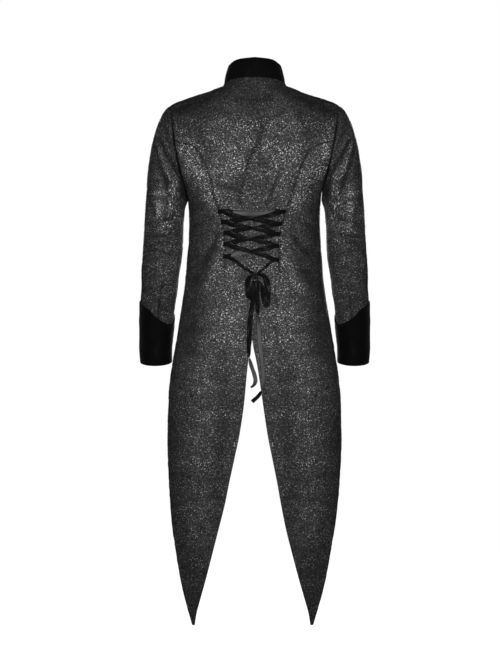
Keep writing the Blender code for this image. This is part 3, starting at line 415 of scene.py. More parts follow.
def painted_shade_at(points, crease, edge):
    """The shade painted into the colour at a crease, a seam and under the arm; a ridge gets painted light,
    and is less than 0.
    """
    x, z, wide, high = UNDERARM_SHADE
    away = ((np.abs(points[..., 0]) - x) / wide) ** 2 + ((points[..., 2] - z) / high) ** 2
    dark = np.minimum(crease * CREASE_SHADE, CREASE_DARKEST) + UNDERARM_DARK * np.exp(-away)
    seam = np.clip((edge - SHADED_SEAM_FROM) / SHADED_SEAM_OVER, 0, 1)
    return 1 - (1 - np.clip(dark, RIDGE_LIGHTEST, DARKEST)) * (1 - SEAM_SHADE * seam)


# Height, and how strong the painted glints, a painted highlight, are there: on the body, and on the sleeves
BODY_SHINE = [(-1300, 0.22), (-1150, 0.32), (-1050, 0.44), (-950, 0.48), (-700, 0.54), (-640, 0.58),
              (-560, 0.56), (-480, 0.55), (-430, 0.55), (-300, 0.60), (-250, 0.68), (-200, 0.73),
              (-150, 0.73), (-115, 0.66), (-85, 0.48), (-50, 0.34), (0, 0.3)]
SLEEVE_SHINE = [(-670, 0.46), (-460, 0.48), (-400, 0.55), (-330, 0.60), (-250, 0.60), (-180, 0.58),
                (-60, 0.48)]
# Height, and the distance from the centre where the cloth turns away from the light and its painted glints
# dim
SHINE_REACH = [(-1300, 170), (-1000, 172), (-800, 168), (-640, 128), (-560, 92), (-430, 76), (-330, 78),
               (-280, 104), (-230, 156), (-180, 190), (-100, 210)]
TURNED_OVER, TURNED_LOSS = 45.0, 0.42
# Painted highlights: the same columns as a crease's, with a strength in place of the depth
SHINES = {
    "back": [
        (172, -130, 160, -190, 0, 12, 0.5), (158, -196, 92, -300, -5, 12, 0.9),
        (-176, -130, -166, -190, 0, 12, 0.5), (-164, -196, -92, -300, 5, 12, 0.8),
        (66, -168, 50, -188, 0, 15, 0.6), (-30, -160, -64, -172, 0, 13, 0.9),
        (26, -112, -20, -106, 0, 13, 0.5), (-70, -500, -60, -570, 0, 28, 0.28),
        (66, -500, 60, -570, 0, 28, 0.3), (22, -405, 2, -440, 0, 16, 0.4), (77, -345, 76, -425, 0, 5, 0.9),
        (-63, -345, -65, -425, 0, 5, 0.7), (79, -425, 110, -492, 0, 9, 0.6),
        (-67, -425, -106, -492, 0, 9, 0.5),
    ],
    "sleeve": [
        (244, -266, 225, -270, 0, 4.5, 2.4), (234, -294, 231, -316, 0, 5, 2.2),
        (203, -268, 186, -271, 0, 4.5, 1.7), (196, -292, 188, -322, 0, 5, 0.9),
        (232, -344, 198, -350, 0, 4.5, 0.8), (226, -360, 204, -362, 0, 4, 0.6),
        (232, -158, 206, -226, 3, 6, 0.7),
    ],
}
body_shine, sleeve_shine, shine_reach = curve(BODY_SHINE), curve(SLEEVE_SHINE), curve(SHINE_REACH)


def painted_shine_at(points, sleeve=False):
    """How strong the painted glints are at a place."""
    x, z = points[..., 0], points[..., 2]
    behind = points[..., 1] > 0
    if sleeve:
        return sleeve_shine(z) + behind * crease_depth(SHINES["sleeve"], x, z)
    turned = smoothstep((np.abs(x) - shine_reach(z)) / TURNED_OVER)
    return body_shine(z) * (1 - TURNED_LOSS * turned) + behind * crease_depth(SHINES["back"], x, z)


print("bright places:", {face: len(rows) for face, rows in SHINES.items()})

# %% [markdown]
# ## The woven pattern
#
# Brocade has a raised pattern that repeats. This one is an ordinary damask of full-blown flowers, leaves
# and stems, mirrored about upright axes, with every second row moved half a repeat. The same formulas
# are wanted twice: on arrays, to raise the mesh, and in a material, to draw the threads. So a value in a
# material gets its own small class, whose sums turn into Math nodes, and the formulas don't care which
# of the two they work on.

# %% Sums that become Math nodes


class Dial:
    """A number that a material works out anew at each point of a surface."""

    def __init__(self, tree, socket):
        self.tree, self.socket = tree, socket

    def step(self, operation, *others):
        node = self.tree.nodes.new("ShaderNodeMath")
        node.operation = operation
        for place, value in zip(node.inputs, (self, *others), strict=False):
            if isinstance(value, Dial):
                self.tree.links.new(value.socket, place)
            else:
                place.default_value = value
        return Dial(self.tree, node.outputs[0])

    def __add__(self, other):
        return self.step("ADD", other)

    def __mul__(self, other):
        return self.step("MULTIPLY", other)

    def __sub__(self, other):
        return self.step("SUBTRACT", other)

    def __truediv__(self, other):
        return self.step("DIVIDE", other)

    def __rsub__(self, other):
        return self.step("MULTIPLY", -1.0).step("ADD", other)

    def __abs__(self):
        return self.step("ABSOLUTE")

    __radd__, __rmul__ = __add__, __mul__


def either(array_name, node_name):
    """A function that works on arrays with numpy and on a Dial with a Math node."""

    def work(value, *others):
        if isinstance(value, Dial):
            return value.step(node_name, *others)
        return getattr(np, array_name)(value, *others)

    return work


cosine, sine, root = either("cos", "COSINE"), either("sin", "SINE"), either("sqrt", "SQRT")
least, most = either("minimum", "MINIMUM"), either("maximum", "MAXIMUM")
whole, bearing = either("floor", "FLOOR"), either("arctan2", "ARCTAN2")


def fade(value, start, end):
    """From 0 at start to 1 at end, smoothly."""
    t = least(most((value - start) * (1 / (end - start)), 0.0), 1.0)
    return t * t * (3.0 - t * 2.0)


def wrapped(value, period):
    """The distance to the nearest multiple of a period, with its sign."""
    return value - whole(value * (1 / period) + 0.5) * period


# %% Draw one repeat of the damask
REPEAT_ACROSS, REPEAT_DOWN = 148.0, 176.0
LARGE_FLOWER, SMALL_FLOWER = (35.0, 5), (26.0, 6)  # size, petals
# Leaves, from the nearest large or small flower: which, across, down, angle, length, half width
LEAVES = [
    ("large", 41, -33, -38, 25, 9), ("large", 45, 27, 44, 26, 10), ("large", 15, 55, 72, 20, 8),
    ("small", 33, -31, -42, 21, 8), ("small", 36, 28, 38, 22, 8), ("small", 12, -48, -70, 17, 6),
]
STEM_MIDDLE, STEM_SWING = 38.0, 21.0


def flower(across, down, size, petals):
    """A full-blown flower in rings of petals: how high it is, and how bright its petals' edges."""
    turn = bearing(across, down)
    reach = root(across * across + down * down) / (cosine(turn * petals) * 0.1 + 1.0) * (1 / size)
    inside = fade(reach, 1.06, 0.97)
    rings = cosine((reach * 3.0 + cosine(turn * (petals + 2.0)) * 0.13) * (2 * math.pi))
    return inside * (rings * 0.3 + 0.65), inside * fade(rings, 0.45, 0.95)


def leaf(across, down, angle, size, width):
    """A pointed leaf with a rib and veins: how high it is, and how bright its edges."""
    c, s = math.cos(math.radians(angle)), math.sin(math.radians(angle))
    along = across * c + down * s
    off = abs(down * c - across * s)
    margin = most(1.0 - along * along * (1 / size**2), 0.0) * width
    inside = fade(off - margin, 0.7, -0.7)
    rim = fade(abs(off - margin), 1.9, 0.5)
    veins = fade(cosine((along + off * 1.3) * (2 * math.pi / 6.5)), 0.35, 0.9) * 0.7
    edge = most(most(rim, fade(off, 1.2, 0.3)), veins)
    return inside * (0.55 + edge * 0.35), inside * edge


def damask(across, down):
    """The height of the pattern at a place on the cloth in millimetres, and the brightness of its edges."""
    sway = sine(down * 0.059 + sine(across * 0.034) * 2.0) * 5.0 + sine(down * 0.137 + across * 0.11) * 2.0
    drift = sine(across * 0.066 + sine(down * 0.041) * 1.6) * 5.0 + sine(across * 0.151 - down * 0.12) * 2.0
    across, down = across + sway, down + drift
    axis = abs(wrapped(across, REPEAT_ACROSS))
    spots = {"large": (axis, wrapped(down, REPEAT_DOWN)),
             "small": (REPEAT_ACROSS / 2 - axis, wrapped(down + REPEAT_DOWN / 2, REPEAT_DOWN))}
    parts = [flower(*spots["large"], *LARGE_FLOWER), flower(*spots["small"], *SMALL_FLOWER)]
    for which, a, d, angle, size, width in LEAVES:
        parts.append(leaf(spots[which][0] - a, spots[which][1] - d, angle, size, width))
    wave = sine(down * (2 * math.pi / REPEAT_DOWN)) * STEM_SWING + STEM_MIDDLE
    stem = fade(abs(axis - wave), 2.6, 1.2)
    high, bright = stem * 0.5, stem * 0.5
    for part_high, part_bright in parts:
        high, bright = most(high, part_high), most(bright, part_bright)
    return high, bright


print("one repeat of the pattern:", REPEAT_ACROSS, "x", REPEAT_DOWN, "mm")

# %% [markdown]
# ## Materials
#
# All of them are built from nodes. A cloth's place is its UV map in metres, measured along the cloth
# itself, so the pattern keeps its true size and runs with the grain of each piece.

# %% Start a material, and read the place on the cloth


def new_finish(name, roughness, **sockets):
    """A material with a Principled shader, whose constant values are set on its own sockets."""
    made = bpy.data.materials.new(name)
    made.use_nodes = True
    shader = made.node_tree.nodes["Principled BSDF"]
    shader.inputs["Roughness"].default_value = roughness
    for socket, value in sockets.items():
        shader.inputs[socket.replace("_", " ")].default_value = value
    return made, made.node_tree, shader


def cloth_place(tree):
    """The distances across and down the cloth, in millimetres."""
    place = tree.nodes.new("ShaderNodeUVMap")
    place.uv_map = "cloth"
    parts = tree.nodes.new("ShaderNodeSeparateXYZ")
    tree.links.new(place.outputs["UV"], parts.inputs[0])
    return [Dial(tree, parts.outputs[k]) * 1000.0 for k in range(2)]


def noise(tree, across, down, size, detail=2.0, distortion=0.0, stretch=1.0, layer=0.0):
    """Cloudy values about 0.5, in patches of a size in millimetres, drawn out down the cloth by stretch."""
    where = tree.nodes.new("ShaderNodeCombineXYZ")
    for value, place in zip((across * (1 / size), down * (1 / (size * stretch))), where.inputs, strict=False):
        tree.links.new(value.socket, place)
    where.inputs[2].default_value = layer
    cloud = tree.nodes.new("ShaderNodeTexNoise")
    cloud.inputs["Scale"].default_value = 1.0
    cloud.inputs["Detail"].default_value = detail
    cloud.inputs["Distortion"].default_value = distortion
    tree.links.new(where.outputs[0], cloud.inputs["Vector"])
    return Dial(tree, cloud.outputs[0])


def raise_surface(tree, shader, height):
    """Bump from a height in millimetres."""
    bump = tree.nodes.new("ShaderNodeBump")
    bump.inputs["Distance"].default_value = MM
    tree.links.new(height.socket, bump.inputs["Height"])
    tree.links.new(bump.outputs["Normal"], shader.inputs["Normal"])


def colour_from(tree, shader, grey):
    tree.links.new(grey.socket, shader.inputs["Base Color"])


# %% [markdown]
# ### Brocade
#
# The real cloth is a black jacquard with a silky thread that has shrunk a little, so the whole face is
# crinkled. Small wiry ridges catch the light, most of all along the edges of flowers and leaves, and
# between them the ground is dull. Here their glints are painted into the colour as bright wires, each
# with a painted shade beside it, and the stored painted shade and glint strength are read in too. The
# wires are the places where a cloud of noise crosses its middle value, which gives short, wandering lines.

# %% Make the brocade
# The third value is the colour of the painted glints, a painted highlight.
GROUND, SILK, PAINTED_GLINT = 0.0235, 0.010, 0.57
ROWS_APART, FIRST_ROW = 58.0, 694.0  # the small pattern's rows down the cloth
PATTERN_DRIFT = 9.0  # how far the flowers' edges wander
# Clouds of noise: size in millimetres, detail, distortion, stretch down the cloth, layer
CLOUDS = {
    "shift": (11, 2.0, 0.0, 1.0, 3.1), "drift": (11, 2.0, 0.0, 1.0, 7.7),
    "crinkle": (6.8, 1.5, 1.5, 0.62, 0.0), "pieces": (4.8, 1.5, 0.0, 0.8, 2.2),
    "pits": (5.0, 2.5, 0.0, 1.0, 5.5), "patches": (42, 3.0, 0.0, 1.0, 11.3),
    "fine": (2.2, 2.0, 0.0, 1.0, 8.4), "ridges": (19, 2.0, 1.8, 0.7, 23.5),
    "sparks": (3.1, 1.0, 0.0, 1.0, 17.9),
}


def read_attribute(tree, name):
    """A value that was stored on the mesh, point by point."""
    stored = tree.nodes.new("ShaderNodeAttribute")
    stored.attribute_name = name
    return Dial(tree, stored.outputs["Fac"])


def make_brocade():
    made, tree, shader = new_finish("brocade", 0.5, Specular_IOR_Level=0.14)
    across, down = cloth_place(tree)
    cloud = {name: noise(tree, across, down, *row) for name, row in CLOUDS.items()}
    high, bright = damask(*[place + (cloud[name] - 0.5) * PATTERN_DRIFT
                            for place, name in ((across, "shift"), (down, "drift"))])
    crinkle, fine, ridges = cloud["crinkle"], cloud["fine"], cloud["ridges"]
    # The wires carry painted glints, and beside each one lies a painted shade.
    wires, painted_wire_shade = fade(abs(crinkle - 0.5), 0.07, 0.015), fade(abs(crinkle - 0.60), 0.06, 0.015)
    pieces, pits = fade(cloud["pieces"], 0.38, 0.58), fade(cloud["pits"], 0.45, 0.35)
    patches, sparks = fade(cloud["patches"], 0.36, 0.66), fade(cloud["sparks"], 0.50, 0.70)
    wave = sine(across * 0.085) * 6.0
    rows = fade(cosine((down - FIRST_ROW + wave) * (2 * math.pi / ROWS_APART)), -0.5, 0.9)
    edges = most(wires * (bright * 0.15 + high * 0.1 + 0.7), fade(bright, 0.35, 0.8) * 0.3)
    # Painted highlight: the stored strength of the painted glints, brighter over the blades and dimmer where
    # less light falls.
    painted_glint_strength = read_attribute(tree, "painted_shine")
    # Painted light and painted shade on the cloth's crumples, where the painted glints are strong.
    painted_crumple_share = fade(painted_glint_strength, 0.55, 0.95)  # where the cloth is pulled tight its crumples catch the light too
    painted_crumple_light = fade(abs(ridges - 0.5), 0.05, 0.01) * painted_crumple_share
    painted_crumple_shade = fade(abs(ridges - 0.565), 0.035, 0.01) * painted_crumple_share
    painted_shine = painted_glint_strength * (patches * 0.25 + 0.72) * (rows * 0.45 + 0.7) * (painted_crumple_light * 0.7 + 1.0)
    painted_glints = edges * pieces * painted_shine * (sparks * 2.7 + 0.1)
    # The ground, with its painted wire shade, and then the painted shade of creases and seams over it all.
    grey = (high * SILK * 0.5 + GROUND) * most(fine * 3.4 - 0.5, 0.1) * (1.0 - most(pits, painted_wire_shade) * 0.6)
    painted_light_share = (1.0 - read_attribute(tree, "painted_shade")) * (1.0 - painted_crumple_shade * 0.4)
    colour_from(tree, shader, least(grey * (painted_light_share * 0.82 + 0.18) + painted_glints * painted_light_share * PAINTED_GLINT, 0.9))
    tree.links.new((0.72 - edges * 0.27).socket, shader.inputs["Roughness"])
    weave = cosine((across + down) * (2 * math.pi / 1.1)) * 0.02
    raise_surface(tree, shader, high * 0.2 + edges * 0.4 + crinkle * 1.0 - pits * 0.35 + fine * 0.3 + weave)
    return made


def make_reverse():
    """The cloth's wrong side: a plain, dull black twill."""
    made, tree, shader = new_finish("brocade_reverse", 0.8)
    across, down = cloth_place(tree)
    twill = cosine((across + down) * (2 * math.pi / 1.4)) * 0.5 + 0.5
    cloud = noise(tree, across, down, 20)
    colour_from(tree, shader, twill * 0.006 + cloud * 0.012 + 0.006)
    raise_surface(tree, shader, twill * 0.08 + cloud * 0.3)
    return made


# %% [markdown]
# ### Velvet, satin, thread and buttons
#
# Velvet is the blackest thing on the coat. Its pile swallows light that falls straight in and glows
# softly where it is seen edge-on, which is what the shader's sheen does. The pile leans this way and
# that, so slow streaks change its tone; on the ribbon they are strong and long, a sheen painted into
# its colour. The ribbon has velvet on its face and smooth grey satin behind, with its sheen painted in
# as streaks.

# %% Make the other finishes


def make_velvet(name, tone, size, stretch, crush_and_sheen):
    made, tree, shader = new_finish(name, 0.8, Specular_IOR_Level=0.08, Sheen_Weight=0.06,
                                    Sheen_Roughness=0.35)
    across, down = cloth_place(tree)
    nap = noise(tree, across, down, size, detail=3.0, stretch=stretch)
    pile = noise(tree, across, down, 1.2, detail=1.0, layer=4.0)
    # The crushed streaks are partly the pile's own tone and partly painted sheen, strong and long on the
    # ribbon.
    crushed_pile_and_sheen = fade(nap, 0.56, 0.66)
    colour_from(tree, shader, (crushed_pile_and_sheen * crush_and_sheen + pile * 0.6 + 0.5) * tone)
    raise_surface(tree, shader, nap * 0.6 + pile * 0.12)
    return made


def make_satin():
    made, tree, shader = new_finish("ribbon_satin", 0.5, Specular_IOR_Level=0.2)
    across, down = cloth_place(tree)
    # Painted sheen: streaks of sheen painted into the satin's colour, which is darker along both edges.
    sheen = noise(tree, across, down, 5.0, stretch=6.0, layer=1.0)
    colour_from(tree, shader, (sheen * 0.046 + 0.015) * (1.0 - fade(abs(across), 3.6, 4.4) * 0.8))
    raise_surface(tree, shader, sheen * 0.25 + cosine(across * (2 * math.pi / 0.8)) * 0.02)
    return made


def make_thread():
    made, tree, shader = new_finish("thread", 0.5)
    across, down = cloth_place(tree)
    twist = cosine((across + down * 2.0) * (2 * math.pi / 0.6)) * 0.5 + 0.5
    colour_from(tree, shader, twist * 0.02 + 0.012)
    raise_surface(tree, shader, twist * 0.1)
    return made


def make_button():
    made, tree, shader = new_finish("button", 0.28, Coat_Weight=0.4, Coat_Roughness=0.12)
    place = tree.nodes.new("ShaderNodeTexCoord")
    cloud = tree.nodes.new("ShaderNodeTexNoise")
    cloud.inputs["Scale"].default_value = 900.0
    tree.links.new(place.outputs["Object"], cloud.inputs["Vector"])
    speck = Dial(tree, cloud.outputs[0])
    colour_from(tree, shader, speck * 0.01 + 0.008)
    tree.links.new((speck * 0.2 + 0.2).socket, shader.inputs["Roughness"])
    raise_surface(tree, shader, speck * 0.03)
    return made


brocade, reverse = make_brocade(), make_reverse()
velvet = make_velvet("velvet", 0.0016, 20.0, 3.0, 1.2)
ribbon_velvet = make_velvet("ribbon_velvet", 0.0018, 1.8, 14.0, 20.0)
satin, thread, button_finish = make_satin(), make_thread(), make_button()
print("materials:", len(bpy.data.materials), "brocade nodes:", len(brocade.node_tree.nodes))

# %% [markdown]
# ## Cloth walls
#
# A piece of cloth is a grid of points for its face, the same grid moved in by the cloth's thickness for
# its back, and a rim that joins the two. A Solidify modifier could do that, but building both skins lets
# the pattern rise on the face alone, and leaves nothing to recompute when the coat is turned round.

# %% Put a mesh on the coat
SHARP = math.radians(55)  # edges that turn more than this stay sharp


def new_mesh(name, points, faces, uv, materials, kinds):
    """A mesh from points and the corners' places on the cloth, both in millimetres."""
    data = bpy.data.meshes.new(name)
    data.from_pydata((points * MM).tolist(), [], faces)
    layer = data.uv_layers.new(name="cloth")
    layer.data.foreach_set("uv", (uv * MM).astype(np.float32).ravel())
    for made in materials:
        data.materials.append(made)
    data.polygons.foreach_set("material_index", kinds.astype(np.int32))
    return data


def finish(name, node, data):
    """Weld a mesh, turn its faces out, shade it and put it on the coat in place of a node."""
    mesh = bmesh.new()
    mesh.from_mesh(data)
    bmesh.ops.remove_doubles(mesh, verts=mesh.verts, dist=1e-6)
    bmesh.ops.recalc_face_normals(mesh, faces=mesh.faces)
    mesh.to_mesh(data)
    mesh.free()
    data.shade_smooth()
    data.set_sharp_from_angle(angle=SHARP)
    return put(bpy.data.objects.new(name, data), node)


def put(piece, node):
    """Put a piece on the coat, in place of a node if it has one."""
    bpy.context.scene.collection.objects.link(piece)
    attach(piece, "root")
    if node:
        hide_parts(node)
    return piece


# %% Build a wall from two grids
cut_sizes = {}  # the smooth grid of each piece, to measure its cut on


def wall(name, node, outer, inner, place, materials, cut, closed=False, stored=None, mirror_from=None):
    """A closed body between two grids of points, with its cloth places as the UV map.

    stored holds values for each point by name, and mirror_from says how far down the cloth both sides
    of the coat start to have the same pattern, mirrored.
    """
    cut_sizes[name] = cut
    rows, columns = outer.shape[:2]
    last = columns if closed else columns - 1
    index = np.arange(rows * columns).reshape(rows, columns)
    index = np.concatenate([index, index[:, :1]], axis=1) if closed else index
    a, b, c, d = index[:-1, :last], index[1:, :last], index[1:, 1:last + 1], index[:-1, 1:last + 1]
    face = np.stack([a, b, c, d], axis=-1).reshape(-1, 4)
    back = rows * columns
    loops = [index[0, :last + 1], index[-1, :last + 1][::-1]]
    if not closed:
        loops = [np.concatenate([index[:, 0][::-1], index[0, 1:], index[1:, -1], index[-1, :-1][::-1]])]
    rim = np.concatenate([np.stack([e[1:], e[:-1], e[:-1] + back, e[1:] + back], axis=-1) for e in loops])
    quads = np.concatenate([face, face[:, ::-1] + back, rim])
    uv = np.tile(place.reshape(-1, 2), (2, 1))[quads]
    if closed:
        # the last faces run from the end of the cloth on past it, and not back over all of it
        girth_round = (place[0, -1, 0] - place[0, 0, 0]) * columns / (columns - 1)
        span = uv[..., 0].max(axis=1, keepdims=True) - uv[..., 0]
        uv[..., 0] += girth_round * (span > girth_round / 2)
    if mirror_from is not None:
        tail = uv[..., 1].mean(axis=1) > mirror_from
        uv[tail, :, 0] = np.abs(uv[tail, :, 0])
    kinds = np.zeros(len(quads))
    kinds[len(face):2 * len(face)] = len(materials) - 1
    data = new_mesh(name, np.concatenate([outer.reshape(-1, 3), inner.reshape(-1, 3)]), quads.tolist(), uv,
                    materials, kinds)
    for key, values in (stored or {}).items():
        layer = data.attributes.new(key, "FLOAT", "POINT")
        layer.data.foreach_set("value", np.tile(values.ravel(), 2).astype(np.float32))
    return finish(name, node, data)


# %% [markdown]
# ## Seams and hems
#
# At a seam the cloth dives in, with a little pucker along the thread. At a hem it is folded double, so
# the last 12 mm are a touch thicker and the very edge is round. Both are only distances from the edges
# of a grid, measured along the cloth.

# %% Shape the edges of a grid
SEAM_DEPTH, SEAM_WIDTH, VALLEY_DEPTH, VALLEY_WIDTH = 1.7, 2.6, 0.6, 10.0
NECK_ROLL = -0.5
PUCKER_DEPTH, PUCKER_LENGTH, SEAM_END = 0.35, 13.0, 6.0
HEM_WIDTH, HEM_STEP, HEM_RISE, HEM_ROUND, HEM_DROP = 12.0, 3.0, 0.45, 0.9, 0.7


def seam_push(distance, along):
    """How far a seam pulls the cloth in."""
    pucker = PUCKER_DEPTH * np.sin(along * 2 * math.pi / PUCKER_LENGTH + 1.7 * np.sin(along / 31))
    valley = (VALLEY_DEPTH + pucker) * np.exp(-((distance / VALLEY_WIDTH) ** 2))
    return SEAM_DEPTH * np.exp(-((distance / SEAM_WIDTH) ** 2)) + valley


def hem_push(distance):
    """How a hem stands out a little and rounds over at its edge; less than 0 is outwards."""
    double = -HEM_RISE * smoothstep((HEM_WIDTH + HEM_STEP / 2 - distance) / HEM_STEP)
    return double + (HEM_RISE + HEM_DROP) * np.exp(-((distance / HEM_ROUND) ** 2))


def run_length(points, axis):
    """Distances along the rows or the columns of a grid, from its first ones."""
    step = np.linalg.norm(np.diff(points, axis=axis), axis=-1)
    start = np.zeros_like(np.take(step, [0], axis=axis))
    return np.concatenate([start, np.cumsum(step, axis=axis)], axis=axis)


def edge_push(points, top, bottom, first, last):
    """The push of all four edges of a grid.

    Each is a "seam", a "hem", None, or the height where it turns from a seam into a hem.
    """
    across, down = run_length(points, 1), run_length(points, 0)
    total = np.zeros(points.shape[:2])
    sides = [
        (top, down, across, 0),
        (bottom, down[-1:] - down, across, 0),
        (first, across, down, points[:, :1, 2]),
        (last, across[:, -1:] - across, down, points[:, -1:, 2]),
    ]
    for kind, distance, along, z in sides:
        if kind is None:
            continue
        sewn = float(kind == "seam") if isinstance(kind, str) else smoothstep((z - kind) / SEAM_END + 1)
        total = total + sewn * seam_push(distance, along) + (1 - sewn) * hem_push(distance)
    return np.minimum(total, SEAM_DEPTH + VALLEY_DEPTH)


# %% [markdown]
# ## Crinkle in the mesh
#
# The weave's flowers and its crumpled ground are also raised in the mesh, by about half a millimetre,
# so that the coat's outline and its sheen are uneven even before the material adds the threads.

# %% Raise the weave on a grid
CELL = 3.3  # the mesh's spacing
PATTERN_RISE, CRUMPLE_RISE, WAVE_RISE = 0.55, 0.5, 1.1
CRUMPLE_SIZE, WAVE_SIZE, LATTICE = 9.0, 46.0, 64


def crumple(across, down, size, seed):
    """Smooth random hills about 0, each about one size across."""
    lattice = np.random.default_rng(seed).uniform(-1, 1, (LATTICE, LATTICE))
    x, y = across / size, down / size
    i, j = np.floor(x).astype(int), np.floor(y).astype(int)
    tx, ty = smoothstep(x - i), smoothstep(y - j)
    corner = [[lattice[(i + a) % LATTICE, (j + b) % LATTICE] for b in (0, 1)] for a in (0, 1)]
    near = corner[0][0] * (1 - ty) + corner[0][1] * ty
    return near * (1 - tx) + (corner[1][0] * (1 - ty) + corner[1][1] * ty) * tx


def weave_rise(place, seed):
    """How far the face of the brocade stands out."""
    across, down = place[..., 0], place[..., 1]
    high, bright = damask(across, down)
    hills = crumple(across, down, CRUMPLE_SIZE, seed) * CRUMPLE_RISE
    return high * PATTERN_RISE + bright * 0.2 + np.abs(hills)


def soft_waves(points, seed):
    """Slow unevenness in the lie of the cloth, placed by where it is on the coat."""
    x, y, z = np.moveaxis(points, -1, 0)
    return WAVE_RISE * crumple(x + 0.8 * y + 900, z - 0.3 * x + 2000, WAVE_SIZE, seed)


# %% Measure the cloth round the body
GIRTH_ANGLES = np.linspace(0, math.pi * 1.1, 150)
GIRTH_HEIGHTS = np.linspace(TIP - 10, -100, 90)
GIRTH = run_length(section(*np.meshgrid(GIRTH_ANGLES, GIRTH_HEIGHTS)), 1)


def cell_of(value, marks):
    """Which cell of an even row of marks a value lies in, and how far along that cell."""
    place = np.clip((value - marks[0]) / (marks[1] - marks[0]), 0, len(marks) - 1.001)
    cell = place.astype(int)
    return cell, place - cell


def girth(angle, z):
    """The distance round the cloth at a height, from the centre back to an angle."""
    (i, ti), (j, tj) = cell_of(angle, GIRTH_ANGLES), cell_of(z, GIRTH_HEIGHTS)
    low = GIRTH[j, i] * (1 - ti) + GIRTH[j, i + 1] * ti
    high = GIRTH[j + 1, i] * (1 - ti) + GIRTH[j + 1, i + 1] * ti
    return low * (1 - tj) + high * tj


def section_angle(points):
    """The section angle of points on the body."""
    x, y, z = np.moveaxis(points, -1, 0)
    angle = angle_of(np.abs(x), z) * np.sign(x)
    return np.where(y < 0, math.pi - angle, angle)


def cloth_map(points, v, yoke_level, from_front):
    """Where each point of a body panel lies on the cloth: across from the centre line, and down."""
    angle = section_angle(points)
    around = girth(angle, points[..., 2])
    centre = girth(np.full(angle.shape, math.pi), points[..., 2])
    around = centre - around if from_front else around
    first = int(np.argmax(v >= 1)) if v[0] < 1 else 0
    down = -points[..., 2].copy()
    if first:
        run = run_length(points[:first + 1], 0)
        down[:first] = -yoke_level - (run[-1] - run[:-1])
        share = v[:first, None]
        around[:first] = points[:first, :, 0] * (1 - share) + around[first] * share
    return np.stack([around, down], axis=-1)


half_girths = girth(np.full(len(GIRTH_HEIGHTS), math.pi), GIRTH_HEIGHTS)
print("half the girth at the waist:", round(float(half_girths.min()) / 10, 1), "cm")

# %% [markdown]
# ## The body panels as cloth
#
# Six panels make the body: a centre back and a side back on each side, and a plain front. A panel is
# sampled evenly, pushed in by its creases and seams, and raised by its weave.

# %% Sample a panel evenly
SAMPLES, EDGE_STEPS = 900, 4


def even_shares(surface, start):
    """Values of v that step down a surface by about one cell of the mesh."""
    v = np.linspace(start, 3.0, SAMPLES)
    longest = np.max([np.linalg.norm(np.diff(surface(np.full(SAMPLES, u), v), axis=0), axis=-1)
                      for u in (0.0, 0.5, 1.0)], axis=0)
    run = np.concatenate([[0], np.cumsum(longest)])
    return np.interp(np.linspace(0, run[-1], int(run[-1] / CELL) + 1), run, v)


def edge_shares(count):
    """Shares across a panel, closer together near both edges."""
    share = np.linspace(0, 1, count + 1)
    near = share[1] * np.linspace(0, 1, EDGE_STEPS)[1:-1]
    return np.unique(np.concatenate([share, near, 1 - near]))


def outward(points, flip=1.0):
    along, down = np.gradient(points, axis=1), np.gradient(points, axis=0)
    return unit(np.cross(along, down)) * flip


# %% Press the seams of a panel
CUT_AT = (0.0, 12.0)  # where the centre line lies on the cloth's repeat
# The centre seam also gets less of the painted seam shade than the others.
CENTRE_PRESS = 0.8  # how much less the centre seam shows than the others
PRESSED_BELOW, PRESSED_OVER = -430.0, 50.0  # the princess seam
PRINCESS_PRESS, CENTRE_FLAT, TIP_FLAT = 0.75, 0.6, 0.6
CALM_WIDTH = 25.0  # beside its edges a panel has no waves
BESIDE_WIDTH, BESIDE_FADE = 22.0, 8.0
# How far the neck's roll reaches, as a share across and in millimetres down, and where the tip starts
ROLL_ACROSS, ROLL_DOWN, ROLL_FADE = 0.05, 14.0, 12.0
TIP_FROM, TIP_OVER, TIP_SHARE, TIP_SHARE_OVER = -95.0, 30.0, 0.85, 0.1


def overlap_lift(points):
    """The left front rises over the right one near the centre front."""
    near = smoothstep((OVERLAP_END - points[..., 0]) / OVERLAP_RAMP)
    return (CLOTH + OVERLAP_GAP) * near * (points[..., 1] < 0)


def beside(distance):
    """1 beside an edge, and 0 from 22 mm away."""
    return smoothstep((BESIDE_WIDTH - distance) / BESIDE_FADE)


def inside(around):
    """0 at both side edges of a grid, and 1 away from them."""
    return smoothstep(np.minimum(around, around[:, -1:] - around) / CALM_WIDTH)


def neck_and_tip(base, u, share, edge):
    """At the neck the cloth rolls up to the collar, and at the tip of the shoulder the seams lie flat."""
    down = run_length(base, 0)
    at_neck = smoothstep((share - u) / ROLL_ACROSS) * smoothstep((ROLL_DOWN - down) / ROLL_FADE)
    edge = edge * (1 - at_neck) + NECK_ROLL * at_neck
    at_tip = smoothstep((base[..., 2] - TIP_FROM) / TIP_OVER) * smoothstep((u - TIP_SHARE) / TIP_SHARE_OVER)
    return edge * (1 - TIP_FLAT * at_tip)


def pressed_princess(base, around, edge, at_end):
    """Below the lacing the princess seam is pressed flat, as the centre seam is all the way."""
    down = smoothstep((PRESSED_BELOW - base[:, [-1 if at_end else 0], 2]) / PRESSED_OVER)
    near = around[:, -1:] - around if at_end else around
    edge = edge * (1 - PRINCESS_PRESS * down * beside(near))
    return edge * (1 - CENTRE_FLAT * beside(around)) if at_end else edge


# %% Make a panel


def brocade_wall(name, node, base, lying, out, edge, crease, place, seed, shown=None, mirror=1, sleeve=False):
    """A wall of brocade on a smooth form, with its seams, its raised weave, and its painted shade and painted
    glints.
    """
    inner = lying - out * (CLOTH + np.maximum(edge, 0))[..., None]
    outer = lying + out * (weave_rise(place, seed) * smoothstep(1 - edge) - edge)[..., None]
    stored = {"painted_shade": painted_shade_at(lying, crease, edge if shown is None else shown),
              "painted_shine": painted_shine_at(lying, sleeve)}
    return wall(name, node, outer * (mirror, 1, 1), inner * (mirror, 1, 1), place,
                [brocade, reverse], base, stored=stored, mirror_from=None if sleeve else -VENT_TOP)


